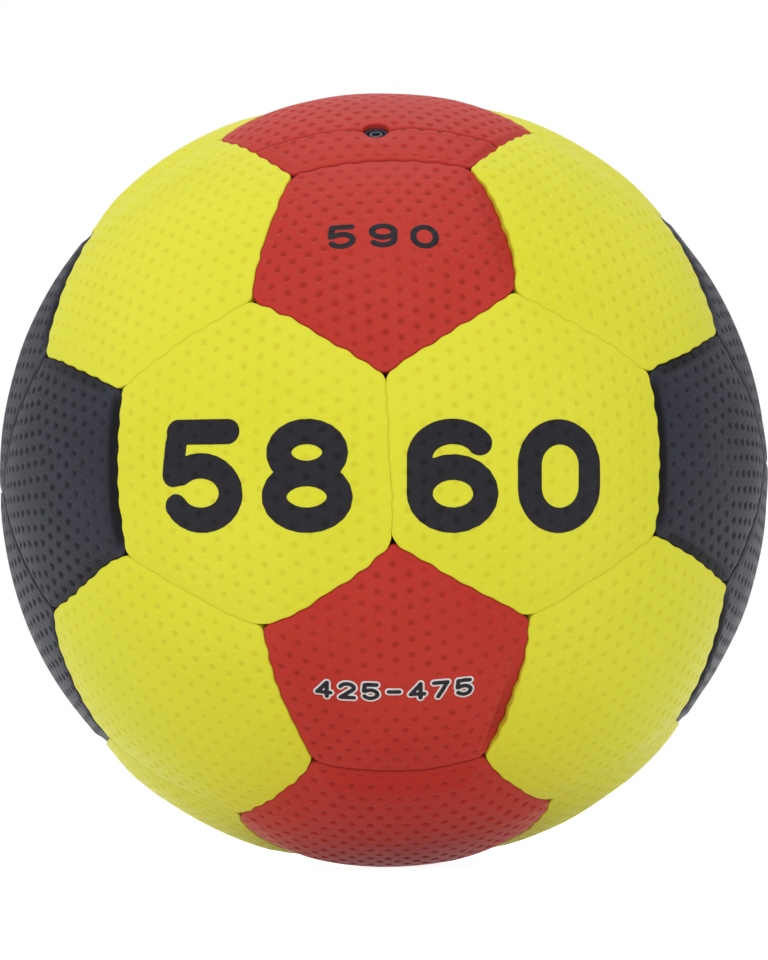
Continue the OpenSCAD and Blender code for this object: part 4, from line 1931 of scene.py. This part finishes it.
@dataclass
class Handball:
    """The whole ball: its panels by node, and the order in which its pieces are made.

    Prints lie at pixels of the photograph. A plain place round one has half its width and height.
    """

    camera: PhotoCamera
    valve: Valve = field(default_factory=Valve)
    shop: Workshop = field(default_factory=Workshop)
    small_print: tuple[float, float] = (383.0, 236.0)
    small_plain: tuple[float, float] = (12.0, 4.5)
    low_print: tuple[float, float] = (394.0, 691.0)
    low_plain: tuple[float, float] = (21.0, 4.5)
    low_outline: float = 0.42
    left_print: tuple[float, float] = (252.0, 476.0)
    right_print: tuple[float, float] = (508.0, 476.0)
    spacing: float = 0.42
    far_spacing: float = 0.5
    valve_pad_spacing: float = 0.8

    @cached_property
    def panels(self) -> dict[str, Panel]:
        """Lays out the cover.

        Returns:
            Every panel by its node, with the swell, seams and prints that this ball shows.
        """
        found = {}
        for kind, *words, weights, cover, swell in FAMILIES:
            for names in product(*(word.split() for word in words)):
                node = "_".join([kind, *names])
                axis = sum(weight * np.array(WORDS[name]) for weight, name in zip(weights, names))
                found[node] = Panel(node, axis, cover, SWELLS.get(node, swell))
        home = found.pop(VALVE_PLACE)
        home.node, home.hole = "valve_panel", self.valve.hole / 2
        found[home.node] = home
        corners = CORNERS.copy()
        for x, y in JUNCTIONS.values():
            seen = self.camera.sight(x, y, BALL.crown_drop + JUNCTION_DEPTH)
            corners[(CORNERS @ seen).argmax()] = seen
        for p in found.values():
            p.settle(corners[(p.corners @ CORNERS.T).argmax(1)])
        for p in found.values():
            p.meet([q for q in found.values() if q is not p])
        for (one, other), bow in BOWS.items():
            a, b = found[one], found[other]
            a.bows[a.side_to(b)] += bow
            b.bows[b.side_to(a)] -= bow
        for (one, other), (tuck, lean) in TUCKS.items():
            side = found[one].side_to(found[other])
            found[one].tucks[side], found[one].leans[side] = tuck, lean
        found["pentagon_front_upper"].plain = (self.camera.sight(*self.small_print), *self.small_plain)
        found["pentagon_front_lower"].plain = (self.camera.sight(*self.low_print), *self.low_plain)
        return found

    def seams(self) -> dict[str, list[tuple[Panel, int]]]:
        """Sorts the seams by the nodes of their threads.

        Returns:
            The seams of the pentagons, and those between two hexagons, each once: the panel and
            the number of its side.
        """
        found = {"pentagon_seam_thread": [], "hexagon_seam_thread": []}
        for p in self.panels.values():
            for i, other in enumerate(p.beyond):
                if p.sides == 5:
                    found["pentagon_seam_thread"].append((p, i))
                elif other.sides == 6 and p.node < other.node:
                    found["hexagon_seam_thread"].append((p, i))
        return found

    def build_cover(self) -> None:
        """Makes the 32 skins, on a finer grid where they face the camera."""
        for panel in self.panels.values():
            recipe = LEATHERS[panel.cover].for_panel(panel.sides)
            surface = Skin(panel, self.spacing if panel.axis[1] < -0.2 else self.far_spacing).surface()
            name, slot = f"skin_{panel.node}", panel.cover.value
            piece = self.shop.piece(name, surface, recipe, (panel.node,), slot)

    def build_inside(self) -> None:
        """Makes the foam, the threads, the valve and the patch, and finishes the bladder."""
        valve, home, room = self.valve, self.panels["valve_panel"], BALL.layer_gap
        slabs = {
            "pentagon_pads": [FoamPad(p) for p in self.panels.values() if p.sides == 5],
            "hexagon_pads": [FoamPad(p) for p in self.panels.values() if p.sides == 6 and p is not home],
            "valve_panel_pad": [
                FoamPad(
                    home, self.valve_pad_spacing, bore=valve.nose / 2 + room, seat=valve.patch / 2 + room
                )
            ],
        }
        for node, parts in slabs.items():
            foam = join([pad.surface() for pad in parts])
            pads = self.shop.piece(f"foam_{node}", foam, FOAM, (node,), "foam")
        for node, seams in self.seams().items():
            thread = SeamThread(seams).surface()
            self.shop.piece(f"stitching_{node}", thread, THREAD, (node,), "thread")
        body, plug = valve.body_surface(home), valve.plug_surface(home)
        self.shop.piece("moulded_valve_body", body, NOSE, ("valve_body",), "valve_rubber")
        self.shop.piece("moulded_valve_plug", plug, PLUG, ("valve_plug",), "valve_rubber")
        cloth = valve.patch_surface(home)
        patch = self.shop.piece("cotton_valve_patch", cloth, CLOTH, ("valve_patch",), "cloth")
        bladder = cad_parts["bladder"]
        bladder.data.materials.clear()
        bladder.data.materials.append(self.shop.finish(BLADDER))

    def build_prints(self) -> None:
        """Makes the plain numerals, where the ball carries its prints."""
        grow, lift = {"grow": self.low_outline}, {"lift": 0.12}
        rows = [
            ("front_left", "hexagon_front_left", "58", LARGE_TYPE, self.left_print, INK, {}),
            ("front_right", "hexagon_front_right", "60", LARGE_TYPE, self.right_print, INK, {}),
            ("small", "pentagon_front_upper", "590", SMALL_TYPE, self.small_print, INK, {}),
            ("low_edge", "pentagon_front_lower", "425-475", FINE_TYPE, self.low_print, PALE_INK, grow),
            ("low", "pentagon_front_lower", "425-475", FINE_TYPE, self.low_print, INK, lift),
        ]
        for name, node, text, form, at, ink, more in rows:
            middle, up = self.camera.sight(*at), self.camera.upright(*at)
            film = Print(self.panels[node], text, form, middle, up, **more)
            self.shop.piece(f"print_{name}", film.surface(), ink)


def main() -> None:
    """Builds the ball and its studio in order, and works out the boxes of the CAD and of the looks."""
    logging.basicConfig(level=logging.INFO, format="%(name)s: %(message)s")
    bpy.context.scene.view_settings.view_transform = "Standard"
    camera = PhotoCamera()
    camera.build()
    Studio().build()
    ball = Handball(camera)
    ball.build_cover()
    ball.build_inside()
    ball.build_prints()
    log.info("%d triangles in all new pieces", ball.shop.triangles)
    boxes = {"cad": cad_box, "visual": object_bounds()}
    {k: [list(v) for v in box] for k, box in boxes.items()}


if __name__ == "__main__":
    main()
